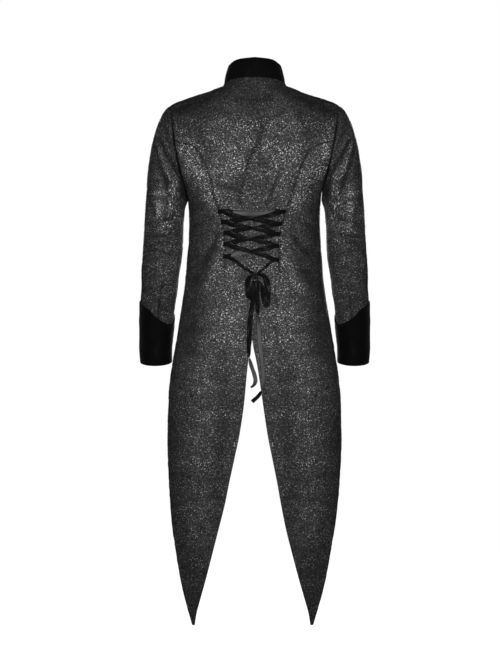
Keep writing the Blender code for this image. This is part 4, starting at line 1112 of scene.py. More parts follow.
def panel(name, node, surface, start, width, yoke_level, edges, side, seed):
    """A body panel as a wall of brocade."""
    v = even_shares(surface, start)
    grid_u, grid_v = np.meshgrid(edge_shares(int(width / CELL)), v)
    base = surface(grid_u, grid_v)
    place = cloth_map(base, v, yoke_level, surface is front) * (side, 1) + CUT_AT
    out = outward(base, -1.0 if surface is front else 1.0)
    around = run_length(base, 1)
    edge = edge_push(base, *edges)
    if surface is side_back:
        out[0] = out[1] = unit(out[2].mean(axis=0))
    else:
        share = BACK_NECK_SHARE if surface is centre_back else FRONT_NECK_SHARE
        edge = neck_and_tip(base, grid_u, share, edge)
    if surface is not front:
        edge = pressed_princess(base, around, edge, surface is centre_back)
    elif side > 0:
        base = base + out * overlap_lift(base)[..., None]
        around = run_length(base, 1)
    shown = edge * (1 - CENTRE_PRESS * beside(around)) if surface is centre_back else edge
    out[..., 0] *= side
    lying = swayed(base, side)
    crease = body_crease(lying)
    lying = lying + out * (inside(around) * soft_waves(lying, seed) - crease)[..., None]
    return brocade_wall(name, node, base, lying, out, edge, crease, place, seed, shown)


# %% Make the six panels
# Piece, node, surface, where v starts, width, height of the yoke's end, edges as edge_push wants them
PANELS = [
    ("centre_back_", "back_centre_", centre_back, 0.0, 205, BACK_YOKE, ("seam", "hem", VENT_TOP, "seam")),
    ("side_back_", "back_side_", side_back, 1.0, 165, BACK_YOKE, (None, "hem", "seam", FRONT_END)),
    ("front_panel_", "front_", front, 0.0, 250, FRONT_YOKE, ("seam", "hem", "hem", "seam")),
]
SIDES = ((1, "left"), (-1, "right"))
BODY_SEEDS = {"left": 11, "right": 12}
cloth = {}
for side, word in SIDES:
    for name, node, *form in PANELS:
        cloth[node + word] = panel(name + word, node + word, *form, side, BODY_SEEDS[word])
print("body panels:", {name: len(piece.data.polygons) for name, piece in cloth.items()})

# %% [markdown]
# ## Sleeves
#
# A tailored sleeve is two pieces, a wide upper and a narrow under one, set into the armhole with a
# little fullness at the head. It is a tube of tilted ellipses that bends forward at the elbow, with a
# smooth stretch that leaves the armhole seam outwards and arrives on the arm pointing down.

# %% The sleeve's sizes and its surface
# Height, centre x, half width, centre y, half depth, tilt in degrees
SLEEVE = [
    (-300, 219, 48.4, 2, 65, 0), (-330, 221.3, 48, 2, 64, 0), (-367, 223.5, 47.8, 1, 62, 1),
    (-412, 226, 48, -2, 60.5, 3), (-456, 230.5, 46.5, -7, 58, 6), (-500, 234.3, 44.3, -15, 55, 9),
    (-529, 238, 42.5, -21, 53, 10), (-559, 240, 41, -27, 51.5, 11), (-588, 241.5, 40.6, -33, 50, 11),
    (-617, 243.3, 39.3, -38.5, 49, 11), (-647, 245, 38, -44.5, 48, 11), (-677, 244.5, 36.5, -50, 47, 11),
]
ARM_TOP, ARM_END = -330.0, -668.0
CAP_FULLNESS, CAP_HANG, CAP_LONG = 0.64, 0.95, 290
CAP_TIP_WAY, CAP_SIDE_WAY = (0.83, 0.30, 0.56), (0.45, 0.30, 0.84)  # out, back and down
HIND_SEAM, FORE_SEAM = math.radians(97), math.radians(-112)
sleeve_x, sleeve_w, sleeve_y, sleeve_d, sleeve_tilt = [curve(SLEEVE, k) for k in range(1, 6)]


def sleeve_section(angle, z, grow=0.0):
    """A point on the sleeve: the angle is 0 at its outer side and 90 degrees at its back."""
    tilt = np.radians(sleeve_tilt(z))
    deep = (sleeve_d(z) + grow) * np.sin(angle)
    x = sleeve_x(z) + (sleeve_w(z) + grow) * np.cos(angle)
    return point(x, sleeve_y(z) + deep * np.cos(tilt), z - deep * np.sin(tilt))


def sleeve_cap(start, angle, t):
    """The sleeve head, from the armhole seam down to the first level section."""
    foot = sleeve_section(angle, ARM_TOP)
    down = unit(sleeve_section(angle, ARM_TOP - 5.0) - foot)
    tip = np.cos(angle) ** 2
    out, back, fall = [b + (a - b) * tip for a, b in zip(CAP_TIP_WAY, CAP_SIDE_WAY, strict=True)]
    away = unit(point(out, back * np.sin(angle), -fall))
    reach = np.linalg.norm(foot - start, axis=-1, keepdims=True)
    t = t[..., None]
    return (start * (1 + 2 * t) * (1 - t) ** 2 + away * reach * CAP_FULLNESS * t * (1 - t) ** 2
            + foot * t * t * (3 - 2 * t) - down * reach * CAP_HANG * t * t * (1 - t))


# %% Set the sleeve into the armhole


def armhole_line(surface, lower, level):
    """Fine points down one side of the armhole, from the shoulder tip to the underarm."""
    v = np.linspace(0, 1, 60)
    above = surface(np.ones(60), v)
    z = np.linspace(level, UNDERARM, 60)[1:]
    turn = angle_of(lower(z), z)
    below = section(turn if surface is centre_back else math.pi - turn, z)
    return np.concatenate([above, below])


def armhole_ring():
    """The armhole seam against the sleeve's angles, evenly by length: points and angles."""
    lines = [armhole_line(front, armhole_front, FRONT_YOKE),
             armhole_line(centre_back, armhole_back, BACK_YOKE)]
    points, angles = [], []
    for line, sign in zip(lines, (-1, 1), strict=True):
        run = run_length(line[:, None], 0)[:, 0]
        angle = sign * math.pi * run / run[-1]
        points.append(line[::-1] if sign < 0 else line[1:])
        angles.append(angle[::-1] if sign < 0 else angle[1:])
    return np.concatenate(points), np.concatenate(angles)


ring_points, ring_angles = armhole_ring()
armhole_length = float(np.linalg.norm(np.diff(ring_points, axis=0), axis=1).sum())
print("armhole seam:", round(armhole_length / 10, 1), "cm")


def sleeve_grid(angle, side):
    """The sleeve's points: rows from the armhole to the hand, at the given angles round it."""
    turned = (angle + math.pi) % (2 * math.pi) - math.pi
    start = point(*[np.interp(turned, ring_angles, ring_points[:, k]) for k in range(3)])
    start = swayed(start, side)
    start[:, 0] *= side
    cap_rows, arm_rows = int(CAP_LONG / CELL), int((ARM_TOP - ARM_END) / CELL)
    cap = [sleeve_cap(start, angle, np.full(len(angle), t)) for t in np.linspace(0, 1, cap_rows + 1)[:-1]]
    tube = [sleeve_section(angle, np.full(len(angle), z)) for z in np.linspace(ARM_TOP, ARM_END, arm_rows)]
    return np.array(cap + tube)


# %% Make the sleeve's two pieces
SLEEVE_RADIUS, UNDER_SHIFT, SLEEVE_SEED = 52, 40, 21
HEAD_CALM = 30.0
# The long seams are pressed flat, and only show near the cuff: depth, how much more there, from, over
SLEEVE_SEAM, CUFF_SEAM, CUFF_SEAM_FROM, CUFF_SEAM_OVER = 0.25, 0.6, -470.0, 50.0
SLEEVE_TIP_FROM, SLEEVE_TIP_OVER = -105.0, 35.0


def sleeve_crease(points):
    x, z = points[..., 0], points[..., 2]
    off = points[..., 1] - sleeve_y(np.clip(z, SLEEVE[-1][0], SLEEVE[0][0]))
    behind = crease_depth(CREASES["sleeve"], x, z)
    before = crease_depth(CREASES["sleeve"] + CREASES["bend"], x, z)
    return smoothstep(np.abs(off) / SLEEVE_FACE) * np.where(off > 0, behind, before)


def sleeve_piece(name, node, first, last, side):
    columns = int((last - first) * SLEEVE_RADIUS / CELL)
    base = sleeve_grid(first + (last - first) * edge_shares(columns), side)
    out = outward(base, -1.0)
    out[0] = out[1]
    around, down, middle = run_length(base, 1), run_length(base, 0), [columns // 2]
    shift = UNDER_SHIFT * (last > math.pi)
    place = np.stack([side * (around - around[:, middle]) + shift, down[:, middle] + 0 * around], axis=-1)
    pressed = SLEEVE_SEAM + CUFF_SEAM * smoothstep((CUFF_SEAM_FROM - base[:, :1, 2]) / CUFF_SEAM_OVER)
    edge = edge_push(base, "seam", None, None, None)
    edge = edge + pressed * edge_push(base, None, None, "seam", "seam")
    at_tip = smoothstep((base[..., 2] - SLEEVE_TIP_FROM) / SLEEVE_TIP_OVER)
    edge = np.minimum(edge, SEAM_DEPTH + VALLEY_DEPTH) * (1 - TIP_FLAT * at_tip)
    crease = sleeve_crease(base)
    calm = inside(around) * smoothstep(down / HEAD_CALM)
    lying = base + out * (soft_waves(base, SLEEVE_SEED) * calm - crease)[..., None]
    return brocade_wall(name, node, base, lying, out, edge, crease, place, SLEEVE_SEED, mirror=side,
                        sleeve=True)


for side, word in SIDES:
    for part, first, last in (("upper", FORE_SEAM, HIND_SEAM), ("under", HIND_SEAM, FORE_SEAM + 2 * math.pi)):
        piece = sleeve_piece(f"{part}_sleeve_{word}", f"sleeve_{part}_{word}", first, last, side)
        print(piece.name, len(piece.data.polygons))


# %% [markdown]
# ## Cuffs and collar
#
# The cuffs are velvet tubes over the sleeves, cut higher on the outside than behind. The collar is a
# velvet stand that leans in towards the neck. Both have rounded, turned edges, and velvet lies in a few
# soft dents, never in sharp folds.

# %% Make the cuffs
CUFF_END, CUFF_CLEAR = -677.0, 0.45
CUFF_COLUMNS, CUFF_ROWS, CUFF_GIRTH, CUFF_LONG = 110, 44, 44, 130
EDGE_ROWS = np.array([0.002, 0.005, 0.01, 0.018])
CUFF_ROUND, COLLAR_ROUND = 2.2, 2.0
CUFF_DENTS = [(0.7, 1500, 30, 5), (0.35, 900, 11, 6)]  # depth, shift down, size, seed
DENT_RADIUS, DENT_SHIFT, DENT_DEEPEST = 42, 300, -0.4
# The top edge: angle round the sleeve, height before the sleeve's tilt
CUFF_TOP = [(-180, -567), (-130, -550), (-90, -537), (-60, -530), (-20, -526), (0, -527), (61, -537.5),
            (90, -557), (115, -569), (145, -577.5), (165, -574), (180, -567)]
cuff_top = curve(CUFF_TOP)


def drawn_in(near, size):
    """How far a turned edge draws in at a distance from it, as a share of its half thickness."""
    return 1 - np.sqrt(np.clip(1 - (1 - np.clip(near / size, 0, 1)) ** 2, 0, 1))


def end_draw(share, size, length):
    """How far both ends of a wall of this length draw in, looked up to the nearest 2000th."""
    down = np.linspace(0, length, 2001)
    return drawn_in(np.minimum(down, length - down), size)[(share * 2000).astype(int)]


def end_rows(count):
    """Shares down a piece that crowd towards its two edges, where they round over."""
    return np.unique(np.concatenate([np.linspace(0, 1, count), EDGE_ROWS, 1 - EDGE_ROWS]))


def cuff(side, word):
    angle = np.linspace(-math.pi, math.pi, CUFF_COLUMNS, endpoint=False)
    share = end_rows(CUFF_ROWS)[:, None]
    top = cuff_top(np.degrees(angle))
    z = top + (CUFF_END - top) * share
    around = np.broadcast_to(angle, z.shape)
    draw = end_draw(share, CUFF_ROUND, CUFF_LONG)
    long = around * DENT_RADIUS + DENT_SHIFT
    dents = sum(depth * crumple(long, z + shift, size, seed) for depth, shift, size, seed in CUFF_DENTS)
    middle = CUFF_CLEAR + VELVET / 2
    inner = sleeve_section(around, z, middle - VELVET / 2 * (1 - draw)) * (side, 1, 1)
    grow = middle + VELVET / 2 * (1 - draw) + np.maximum(dents, DENT_DEEPEST) * (1 - draw)
    outer = sleeve_section(around, z, grow) * (side, 1, 1)
    place = np.stack([around * CUFF_GIRTH + 200, -z], axis=-1)
    return wall("velvet_cuff_" + word, "cuff_" + word, outer, inner, place, [velvet, velvet], outer,
                closed=True)


cuffs = [cuff(side, word) for side, word in SIDES]
print("cuffs:", [len(piece.data.polygons) for piece in cuffs])

# %% Make the collar
# Angle from the centre back, height of the stand, lean inwards, shift forwards
COLLAR = [(0, 52, 2, 5), (26, 51, 3, 5), (45, 50, 6, 5), (65, 47, 8, 5), (90, 44, 9.5, 5),
          (120, 42, 7, 7), (150, 40, 3, 9), (160, 36, 2, 9), (168, 27, 1, 9), (172, 17, 1, 7)]
COLLAR_END, COLLAR_BULGE, COLLAR_LIFT, COLLAR_HIGH = 172.0, 1.6, -1.6, 52
COLLAR_COLUMNS, COLLAR_ROWS = 181, 20
COLLAR_DENT, COLLAR_DENT_SIZE, COLLAR_SEED = 0.45, 24, 8
CORNER_FROM, CORNER_OVER, CORNER_LIFT = 158, 12, 1.5  # the front corners are lifted a little off the fronts
collar_stand, collar_lean, collar_shift = [curve(COLLAR, k) for k in range(1, 4)]


def collar():
    degrees = np.linspace(-COLLAR_END, COLLAR_END, COLLAR_COLUMNS)
    share = end_rows(COLLAR_ROWS)[:, None]
    seam = neck(np.abs(degrees))
    seam[..., 0] *= np.sign(degrees)
    stand, inward, forward = (f(np.abs(degrees)) for f in (collar_stand, collar_lean, collar_shift))
    radial = unit(seam * (1, 1, 0))
    rise = point(0 * stand, -forward, stand) - radial * inward[:, None]
    bulge = COLLAR_BULGE * np.sin(math.pi * share)[..., None] * radial
    outer = (seam + share[..., None] * rise + bulge + (0, 0, COLLAR_LIFT))[::-1]
    at_corner = smoothstep((np.abs(degrees) - CORNER_FROM) / CORNER_OVER)
    outer[..., 2] += at_corner * CORNER_LIFT * (1 - share[::-1])
    out = -outward(outer)
    out = out * np.sign((out * radial).sum(-1, keepdims=True))
    around = run_length(outer, 1)
    place = np.stack([around, run_length(outer, 0)], axis=-1)
    draw = end_draw(share, COLLAR_ROUND, COLLAR_HIGH)
    draw = np.maximum(draw, drawn_in(np.minimum(around, around[:, -1:] - around), COLLAR_ROUND))
    dents = COLLAR_DENT * crumple(around + 90, place[..., 1] + 50, COLLAR_DENT_SIZE, COLLAR_SEED)
    inner = outer - out * (VELVET - VELVET / 2 * draw)[..., None]
    outer = outer - out * (VELVET / 2 * draw - dents * (1 - draw))[..., None]
    return wall("velvet_collar", "collar", outer, inner, place, [velvet, velvet], outer)


print("collar:", len(collar().data.polygons))

# %% [markdown]
# ## Ribbon
#
# The back is laced like a boot, with one velvet ribbon. A ribbon is a flat strip that follows a line and
# turns about it. Its section is a thin oval with velvet on one side and satin on the other, so where the
# ribbon flips over, the satin shows, as it does on the real coat.

# %% Find a place above the cloth of the back
RIBBON_WIDTH, RIBBON_THICK, LOW, HIGH, LAYER = 9.6, 0.9, 1.3, 2.45, 1.15


def back_point(x, z, height):
    """A point above the cloth of the back; x is signed, from the centre back seam."""
    x, z = np.asarray(x, float), np.asarray(z, float)
    side = np.where(x < 0, -1.0, 1.0)
    angle = angle_of(np.abs(x), z)
    along = section(angle + 0.01, z) - section(angle - 0.01, z)
    down = section(angle, z - 0.5) - section(angle, z + 0.5)
    out = unit(np.cross(along, down))
    place = swayed(section(angle, z), side)
    out[..., 0] *= side
    return place + out * (np.asarray(height, float) - body_crease(place))[..., None], out


def from_centre(x, z):
    """The signed distance from the centre back seam of an x in the coat's own frame."""
    return x - lean(z)


# %% Make a ribbon along a line
RIBBON_STEP, RIBBON_SIDE = 1.6, 9  # the mesh's steps along a ribbon, and the points across one side
FLIP_SLANT = 0.02  # how slantwise a flip's edge runs over the ribbon
SMOOTHED = 3  # how often a line is evened out
WANDER, WANDER_LONG, HUMP_WANDER = 0.06, 17, 0.7  # how unevenly a ribbon's width and hump run


def strip(name, node, line, out, width, turn=0.0, thick=RIBBON_THICK, satin_at=(), face=None, cup=0.35):
    """A ribbon; out is its face's direction, turned about the line, and satin_at are shares that flip."""
    steps = max(12, int(np.linalg.norm(np.diff(line, axis=0), axis=1).sum() / RIBBON_STEP))
    share = np.linspace(0, 1, steps)
    at = run_length(line[:, None], 0)[:, 0]
    at = at / at[-1]
    line, out = [np.stack([np.interp(share, at, v[:, k]) for k in range(3)], 1) for v in (line, out)]
    width, turn = (np.interp(share, at, np.broadcast_to(v, at.shape)) for v in (width, turn))
    for _ in range(SMOOTHED):
        line[1:-1] = (line[:-2] + 2 * line[1:-1] + line[2:]) / 4
    forward = unit(np.gradient(line, axis=0))
    across = unit(np.cross(forward, out))
    up = np.cross(across, forward)
    a = np.radians(turn)[:, None]
    across, up = across * np.cos(a) + up * np.sin(a), up * np.cos(a) - across * np.sin(a)
    row = np.linspace(-1, 1, RIBBON_SIDE)
    s = np.concatenate([row, row[::-1][1:-1]])
    count = len(s)
    face_side = np.arange(count) < RIBBON_SIDE
    lift = np.where(face_side, 1.0, -1.0) * thick / 2 * np.sqrt(np.clip(1 - s**4, 0.05, 1))
    seed = sum(map(ord, name))
    length = np.linalg.norm(np.diff(line, axis=0), axis=1).sum()
    wander = crumple(share * length + seed * 7.0, np.zeros(steps), WANDER_LONG, seed % 31)
    half = (width / 2 * (1 + WANDER * wander))[:, None, None]
    hump = cup * (1 - s**2) * (1 + HUMP_WANDER * wander[:, None]) - cup * 0.5
    body = line[:, None] + across[:, None] * half * s[None, :, None] + up[:, None] * (lift + hump)[..., None]
    index = np.arange(steps * count).reshape(steps, count)
    nxt = np.roll(index, -1, axis=1)
    quads = np.stack([index[:-1], index[1:], nxt[1:], nxt[:-1]], axis=-1).reshape(-1, 4)
    ends = [index[0].tolist(), index[-1][::-1].tolist()]
    uv = np.stack([np.broadcast_to(s * width[:, None] / 2, (steps, count)),
                   np.broadcast_to((share * length)[:, None] + seed, (steps, count))], axis=-1)
    corners = np.concatenate([quads.ravel(), *ends])
    back = np.zeros((steps - 1, count))
    back[:, RIBBON_SIDE - 1:] = 1
    for low, high in satin_at:
        slant = share[:-1, None] + s[None, :] * FLIP_SLANT
        flipped = (slant > low) & (slant < high)
        back[flipped] = 1 - back[flipped]
    data = new_mesh(name, body.reshape(-1, 3), quads.tolist() + ends, uv.reshape(-1, 2)[corners],
                    (face or ribbon_velvet, satin), np.append(back, [0, 0]))
    return finish(name, node, data), line


# %% [markdown]
# The loops are short velvet tabs with both ends in the seam, five on each side. The bar at the top joins
# the first pair and hangs in a slight bow. Then each ribbon crosses from one loop to the next one down on
# the other side, and the two take turns to pass over.

# %% The lacing's sizes in millimetres
# Left and right height, left and right distance from the centre back seam
LOOPS = [(-313, -314, 71, 65.5), (-338.5, -343, 62.5, 58), (-364.5, -367, 56, 54.5),
         (-391, -396, 56.5, 52), (-422, -430, 56, 52.5)]
# Distance out from the loop's middle, height above the cloth
LOOP_LINE = [(12.5, 1.2), (10.6, 1.5), (8.6, 1.8), (6.0, 2.7), (3.0, 3.85), (0.0, 4.0), (-2.5, 3.95),
             (-4.2, 3.3)]
LOOP_WIDTH, LOOP_THICK, LOOP_CUP = 10.5, 1.1, 0.2
# Share of the way across, share of the way down
DROP = [(0, 0), (0.10, 0.16), (0.20, 0.27), (0.50, 0.50), (0.80, 0.73), (0.90, 0.84), (1, 1)]
LACING_WIDTH = [(0, 13.0), (0.15, 12.5), (0.5, 8.2), (0.85, 12.5), (1, 12.0)]  # share across, width
BAR_WIDTH, BAR_SAG, BAR_RISE = 13.0, 7.5, 1.0
FIRST_SAG = 3.5  # the bar pulls the first crossing down
# Where the ribbon lies satin side up: its share across, and how much it widens there
SATIN_AT = {"lace_bar": (0.16, 0.88, 0.2), "lace_right_4": (0.52, 0.93, 0.6)}
PINCH, PINCH_LONG, WIDER_OVER = 0.3, 0.03, 0.08  # how the ribbon narrows where it flips over
LACING_TILT, LACING_UNEVEN = 9, 0.14
drop, lacing_width = curve(DROP), curve(LACING_WIDTH)

# %% Lace the back


def laid_ribbon(node, start, end, heights, sag=0.0):
    share = np.linspace(0, 1, 61)
    x = start[0] + (end[0] - start[0]) * share
    z = start[1] + (end[1] - start[1]) * drop(share) - sag * 4 * share * (1 - share)
    line, out = back_point(x, z, np.interp(share, *zip(*heights, strict=True)))
    seed = sum(map(ord, node))
    tilt = LACING_TILT * crumple(share * 4 + seed, 0 * share, 1, seed % 17)
    width = lacing_width(share) * (1 + LACING_UNEVEN * crumple(share * 5 + seed, 0 * share, 1, seed % 13))
    width = np.where(node == "lace_bar", BAR_WIDTH, width)
    flips = []
    if node in SATIN_AT:
        low, high, wider = SATIN_AT[node]
        pinch = sum(np.exp(-(((share - flip) / PINCH_LONG) ** 2)) for flip in (low, high))
        within = smoothstep((share - low) / WIDER_OVER) * smoothstep((high - share) / WIDER_OVER)
        width = width * (1 - PINCH * pinch) * (1 + wider * within)
        flips = [(low, high)]
    strip(node.replace("lace", "lacing"), node, line, out, width, tilt, satin_at=flips)


def loop_place(number, side):
    """Where a loop is: the signed distance from the centre back seam, and the height."""
    left_z, right_z, left_x, right_x = LOOPS[number - 1]
    return (left_x, left_z) if side > 0 else (-right_x, right_z)


for number in range(1, len(LOOPS) + 1):
    for side, word in SIDES:
        x, z = loop_place(number, side)
        reach, height = np.array(LOOP_LINE).T
        line, out = back_point(x + side * reach, np.full(len(reach), z), height)
        strip(f"tab_{word}_{number}", f"loop_{word}_{number}", line, out, LOOP_WIDTH,
              thick=LOOP_THICK, face=velvet, cup=LOOP_CUP)
start, end = [(x, z + BAR_RISE) for x, z in (loop_place(1, 1), loop_place(1, -1))]
laid_ribbon("lace_bar", start, end, [(0, LOW), (1, LOW)], sag=BAR_SAG)
for number in range(1, len(LOOPS)):
    under, sag = (HIGH, FIRST_SAG) if number == 1 else (LOW, 0.0)
    for side, word in SIDES:
        middle = under + LAYER * ((number % 2 == 0) == (side == 1))
        heights = [(0, HIGH), (0.10, HIGH), (0.20, middle), (0.80, middle), (0.90, LOW), (1, LOW)]
        laid_ribbon(f"lace_{word}_{number}", loop_place(number, side), loop_place(number + 1, -side),
                    heights, sag=sag)
print("lacing ribbons:", 2 * len(LOOPS) - 1, "loops:", 2 * len(LOOPS))

# %% [markdown]
# ## Bow and free ends
#
# Both ends come down to a knot below the lacing. The bow's two loops stand on edge, a small one on the
# left and a longer one on the right. The free ends hang down over the open vent and twist as they go, so
# that both show their satin. Their lengths are read from the photograph, end to end.

# %% The bow's and the free ends' sizes in millimetres
KNOT_AT, KNOT_HALF, KNOT_HEIGHT = (-1.0, -471.0), (6.6, 3.6, 6.8), 4.4
KNOT_SQUARE = 0.85  # 1 makes a ball, and less a pillow
KNOT_FOLDS = [(0.05, 9, 3), (0.03, -4, 14)]  # depth, waves across, waves down
END_SPREAD, END_RISE, RIGHT_END_SHARE = 2.5, 4.5, 0.7
END_HEIGHTS, END_WIDTHS = [(0, HIGH), (0.2, HIGH), (1, 4.4)], [(0, 10.5), (0.3, 9.5), (1, 7.5)]
BOW_WIDTH, BOW_NARROW, BOW_NARROW_OVER = 15.0, 0.5, 0.22
END_WIDTH, END_NARROW_FROM, END_NARROW_OVER = 11.5, 0.5, 0.2
# x, z, clearance above the cloth, turn of the ribbon in degrees
BOW_LEFT = [(4.4, -469, 1.6, 60), (12, -473, 2.0, 40), (17.5, -489, 2.2, 24), (16.0, -508, 2.2, 20),
            (10.5, -521, 2.2, 30), (6.0, -515, 2.4, 45), (5.5, -502, 2.2, 50), (6.0, -490, 2.0, 58),
            (4.4, -479.5, 1.8, 66)]
BOW_RIGHT = [(-6.6, -466, 1.6, -60), (-17, -467.5, 2.0, -40), (-27.0, -478, 2.2, -22),
             (-30.0, -505, 2.2, -14), (-29.5, -530, 2.2, -16), (-26.5, -540, 2.4, -26),
             (-21.5, -530, 2.4, -34), (-19.0, -508, 2.2, -34), (-14.5, -488, 2.0, -42),
             (-6.8, -478.5, 1.8, -62)]
FREE_LEFT = [(1.8, -480.5, 1.3, 0), (2, -500, 1.1, 0), (5, -530, 1.1, 0), (11, -575, 1.2, 0),
             (13.8, -622, 1.6, 6), (14, -645, 2.0, 20), (13.2, -659, 2.2, 60), (11.4, -671, 2.4, 130),
             (7.6, -686, 2.5, 168), (1.2, -704, 2.6, 178), (-1.6, -719, 2.8, 190), (3, -730, 3.0, 225),
             (10, -735, 3.0, 245)]
FREE_RIGHT = [(-5.4, -480.5, 2.5, 0), (-5.6, -505, 2.3, 0), (-6, -530, 2.2, 0), (-6.6, -556, 1.6, 45),
              (-7.4, -570, 1.6, 125), (-8.8, -588, 1.6, 168), (-12, -630, 2.0, 177), (-17, -680, 2.4, 180),
              (-19.9, -713, 2.8, 180), (-17.5, -735, 3.0, 210), (-12, -750, 3.0, 330),
              (6.5, -769, 3.0, 355)]


# %% Tie the knot, the bow and the ends


def smooth_route(table, steps=60):
    """Points along a smooth curve through a table's rows, at even shares of its length."""
    rows = np.array(table, float)
    along = run_length(rows[:, None, :2], 0)[:, 0]
    at = np.linspace(0, along[-1], steps)
    return np.stack([curve(list(zip(along, column, strict=True)))(at) for column in rows.T], 1)


def hanging_ribbon(name, node, table):
    x, z, clear, turn = smooth_route(table).T
    share = np.linspace(0, 1, len(x))
    if name.startswith("bow"):
        grown = smoothstep(np.minimum(share, 1 - share) / BOW_NARROW_OVER)
        width = BOW_WIDTH * (BOW_NARROW + (1 - BOW_NARROW) * grown)
    else:
        narrowed = smoothstep((share - END_NARROW_FROM) / END_NARROW_OVER)
        width = END_WIDTH - (END_WIDTH - RIBBON_WIDTH) * narrowed
    line, out = back_point(from_centre(x, z), z, clear + width / 2 * np.abs(np.sin(np.radians(turn))))
    return strip(name, node, line, out, width, turn)


def knot():
    """A pillow of ribbon wrapped over itself, with the folds that run round it."""
    centre, out = back_point(from_centre(*KNOT_AT), KNOT_AT[1], KNOT_HEIGHT)
    across = unit(np.cross([0, 0, 1], out))
    axes = np.array([across, out, np.cross(out, across)]) * np.array(KNOT_HALF)[:, None]
    ball = bmesh.new()
    bmesh.ops.create_uvsphere(ball, u_segments=56, v_segments=36, radius=1)
    for vertex in ball.verts:
        place = np.array(vertex.co)
        place = np.sign(place) * np.abs(place) ** KNOT_SQUARE
        fold = 1.0
        for depth, waves_across, waves_down in KNOT_FOLDS:
            fold = fold + depth * math.cos(waves_across * place[0] + waves_down * place[2])
        vertex.co = Vector((centre + place * fold @ axes) * MM)
    data = bpy.data.meshes.new("ribbon_knot")
    ball.to_mesh(data)
    ball.free()
    layer = data.uv_layers.new(name="cloth")
    for loop in data.loops:
        layer.data[loop.index].uv = data.vertices[loop.vertex_index].co.xz
    data.materials.append(ribbon_velvet)
    return finish("ribbon_knot", "knot", data)


for side, word in SIDES:
    start, z = loop_place(len(LOOPS), side)
    stop = from_centre(KNOT_AT[0] + side * END_SPREAD, KNOT_AT[1])
    share = np.linspace(0, 1, 21)
    height, width = (np.interp(share, *zip(*table, strict=True)) for table in (END_HEIGHTS, END_WIDTHS))
    width = width * (1.0 if side > 0 else RIGHT_END_SHARE)
    line, out = back_point(start + (stop - start) * share, z + (KNOT_AT[1] + END_RISE - z) * share, height)
    strip("lacing_end_" + word, "lace_end_" + word, line, out, width)
knot()
for word, table in (("left", BOW_LEFT), ("right", BOW_RIGHT)):
    hanging_ribbon("bow_loop_" + word, "bow_" + word, table)
free_ends = {word: hanging_ribbon("free_end_" + word, "ribbon_" + word, table)
             for word, table in (("left", FREE_LEFT), ("right", FREE_RIGHT))}


for word, (piece, path) in free_ends.items():
    route = path * MM
    print(piece.name, "line", round(float(np.linalg.norm(np.diff(route, axis=0), axis=1).sum()), 4), "m")


# %% [markdown]
# ## Buttons
#
# Five domed buttons close the front. A button is a turned shape, so it is drawn as half a section and
# spun round with a Screw modifier. Each sits at the outer end of a corded buttonhole.

# %% Make the buttons
BUTTON_HEIGHTS = [-112, -192, -272, -350, -424]
BUTTON_CLEAR, BUTTON_STEPS = 1.0, 40
# The turned section: distance from the middle, height
BUTTON = [(0, 6.0), (1.6, 5.95), (3.2, 5.7), (4.8, 5.2), (5.6, 4.8), (6.0, 4.35), (6.4, 4.5), (7.2, 4.35),
          (8.2, 3.7), (8.8, 2.9), (9.0, 2.2), (8.9, 1.4), (8.4, 0.7), (7.4, 0.2), (6.5, 0), (0, 0)]


def centre_front(z):
    """The place and the outward direction of the front's cloth at a height on the centre line."""
    if z > FRONT_YOKE:
        u = (180 - NECK_EDGE_ANGLE) / (90 - NECK_EDGE_ANGLE) * FRONT_NECK_SHARE
        line = front(np.full(200, u), np.linspace(0, 1, 200) * 0.9999)
        i = int(np.argmin(np.abs(line[:, 2] - z)))
        place, run = line[i], line[max(i - 1, 0)] - line[min(i + 1, 199)]
    else:
        place = section(np.array(math.pi), z)
        run = section(np.array(math.pi), z + 1.0) - section(np.array(math.pi), z - 1.0)
    out = unit(np.cross(run, (1, 0, 0)) * (0, 1, 1))
    return place * (0, 1, 1), out * -np.sign(out[1])


button_data = bpy.data.meshes.new("domed_button")
edges = [(k, k + 1) for k in range(len(BUTTON) - 1)]
button_data.from_pydata([(r * MM, 0, z * MM) for r, z in BUTTON], edges, [])
button_data.materials.append(button_finish)
for number, z in enumerate(BUTTON_HEIGHTS, 1):
    place, out = centre_front(z)
    button = bpy.data.objects.new(f"domed_button_{number}", button_data)
    button.location = Vector((place + out * (CLOTH + OVERLAP_GAP + BUTTON_CLEAR)) * MM)
    button.rotation_mode = "QUATERNION"
    button.rotation_quaternion = Vector(out).to_track_quat("Z", "Y")
    turned = button.modifiers.new("Turned", "SCREW")
    turned.axis = "Z"
    turned.steps = turned.render_steps = BUTTON_STEPS
    turned.use_merge_vertices = turned.use_smooth_shade = True
    turned.merge_threshold = 0.00001
    put(button, f"button_{number}")
print("buttons:", len(BUTTON_HEIGHTS))

# %% [markdown]
# A buttonhole is a slit bound with cord. The front of the left panel is looked up with rays from before
# the coat, so the cord lies on the cloth with all its creases.

# %% Work the buttonholes
BUTTONHOLE = (-2.0, 21.0)  # from the button's middle towards the side
HOLE_CORD, HOLE_GAP, HOLE_RISE = 2.0, 1.0, 0.4


def on_front(x, z):
    """The place and the outward direction of the left front's face, seen from before the coat."""
    before = Vector((x, cad_low[1] / MM - 50, z)) * MM
    _, place, out, _ = cloth["front_left"].ray_cast(before, (0, 1, 0))
    return np.array(place) / MM, np.array(out)


for number, height in enumerate(BUTTON_HEIGHTS, 1):
    for word, offset in (("upper", HOLE_GAP), ("lower", -HOLE_GAP)):
        found = [on_front(x, height + offset) for x in np.linspace(*BUTTONHOLE, 12)]
        line, out = (np.array(part) for part in zip(*found, strict=True))
        strip(f"buttonhole_{number}_{word}", None, line + out * HOLE_RISE, out, HOLE_CORD,
              face=thread, cup=0.1)
print("buttonholes:", len(BUTTON_HEIGHTS))

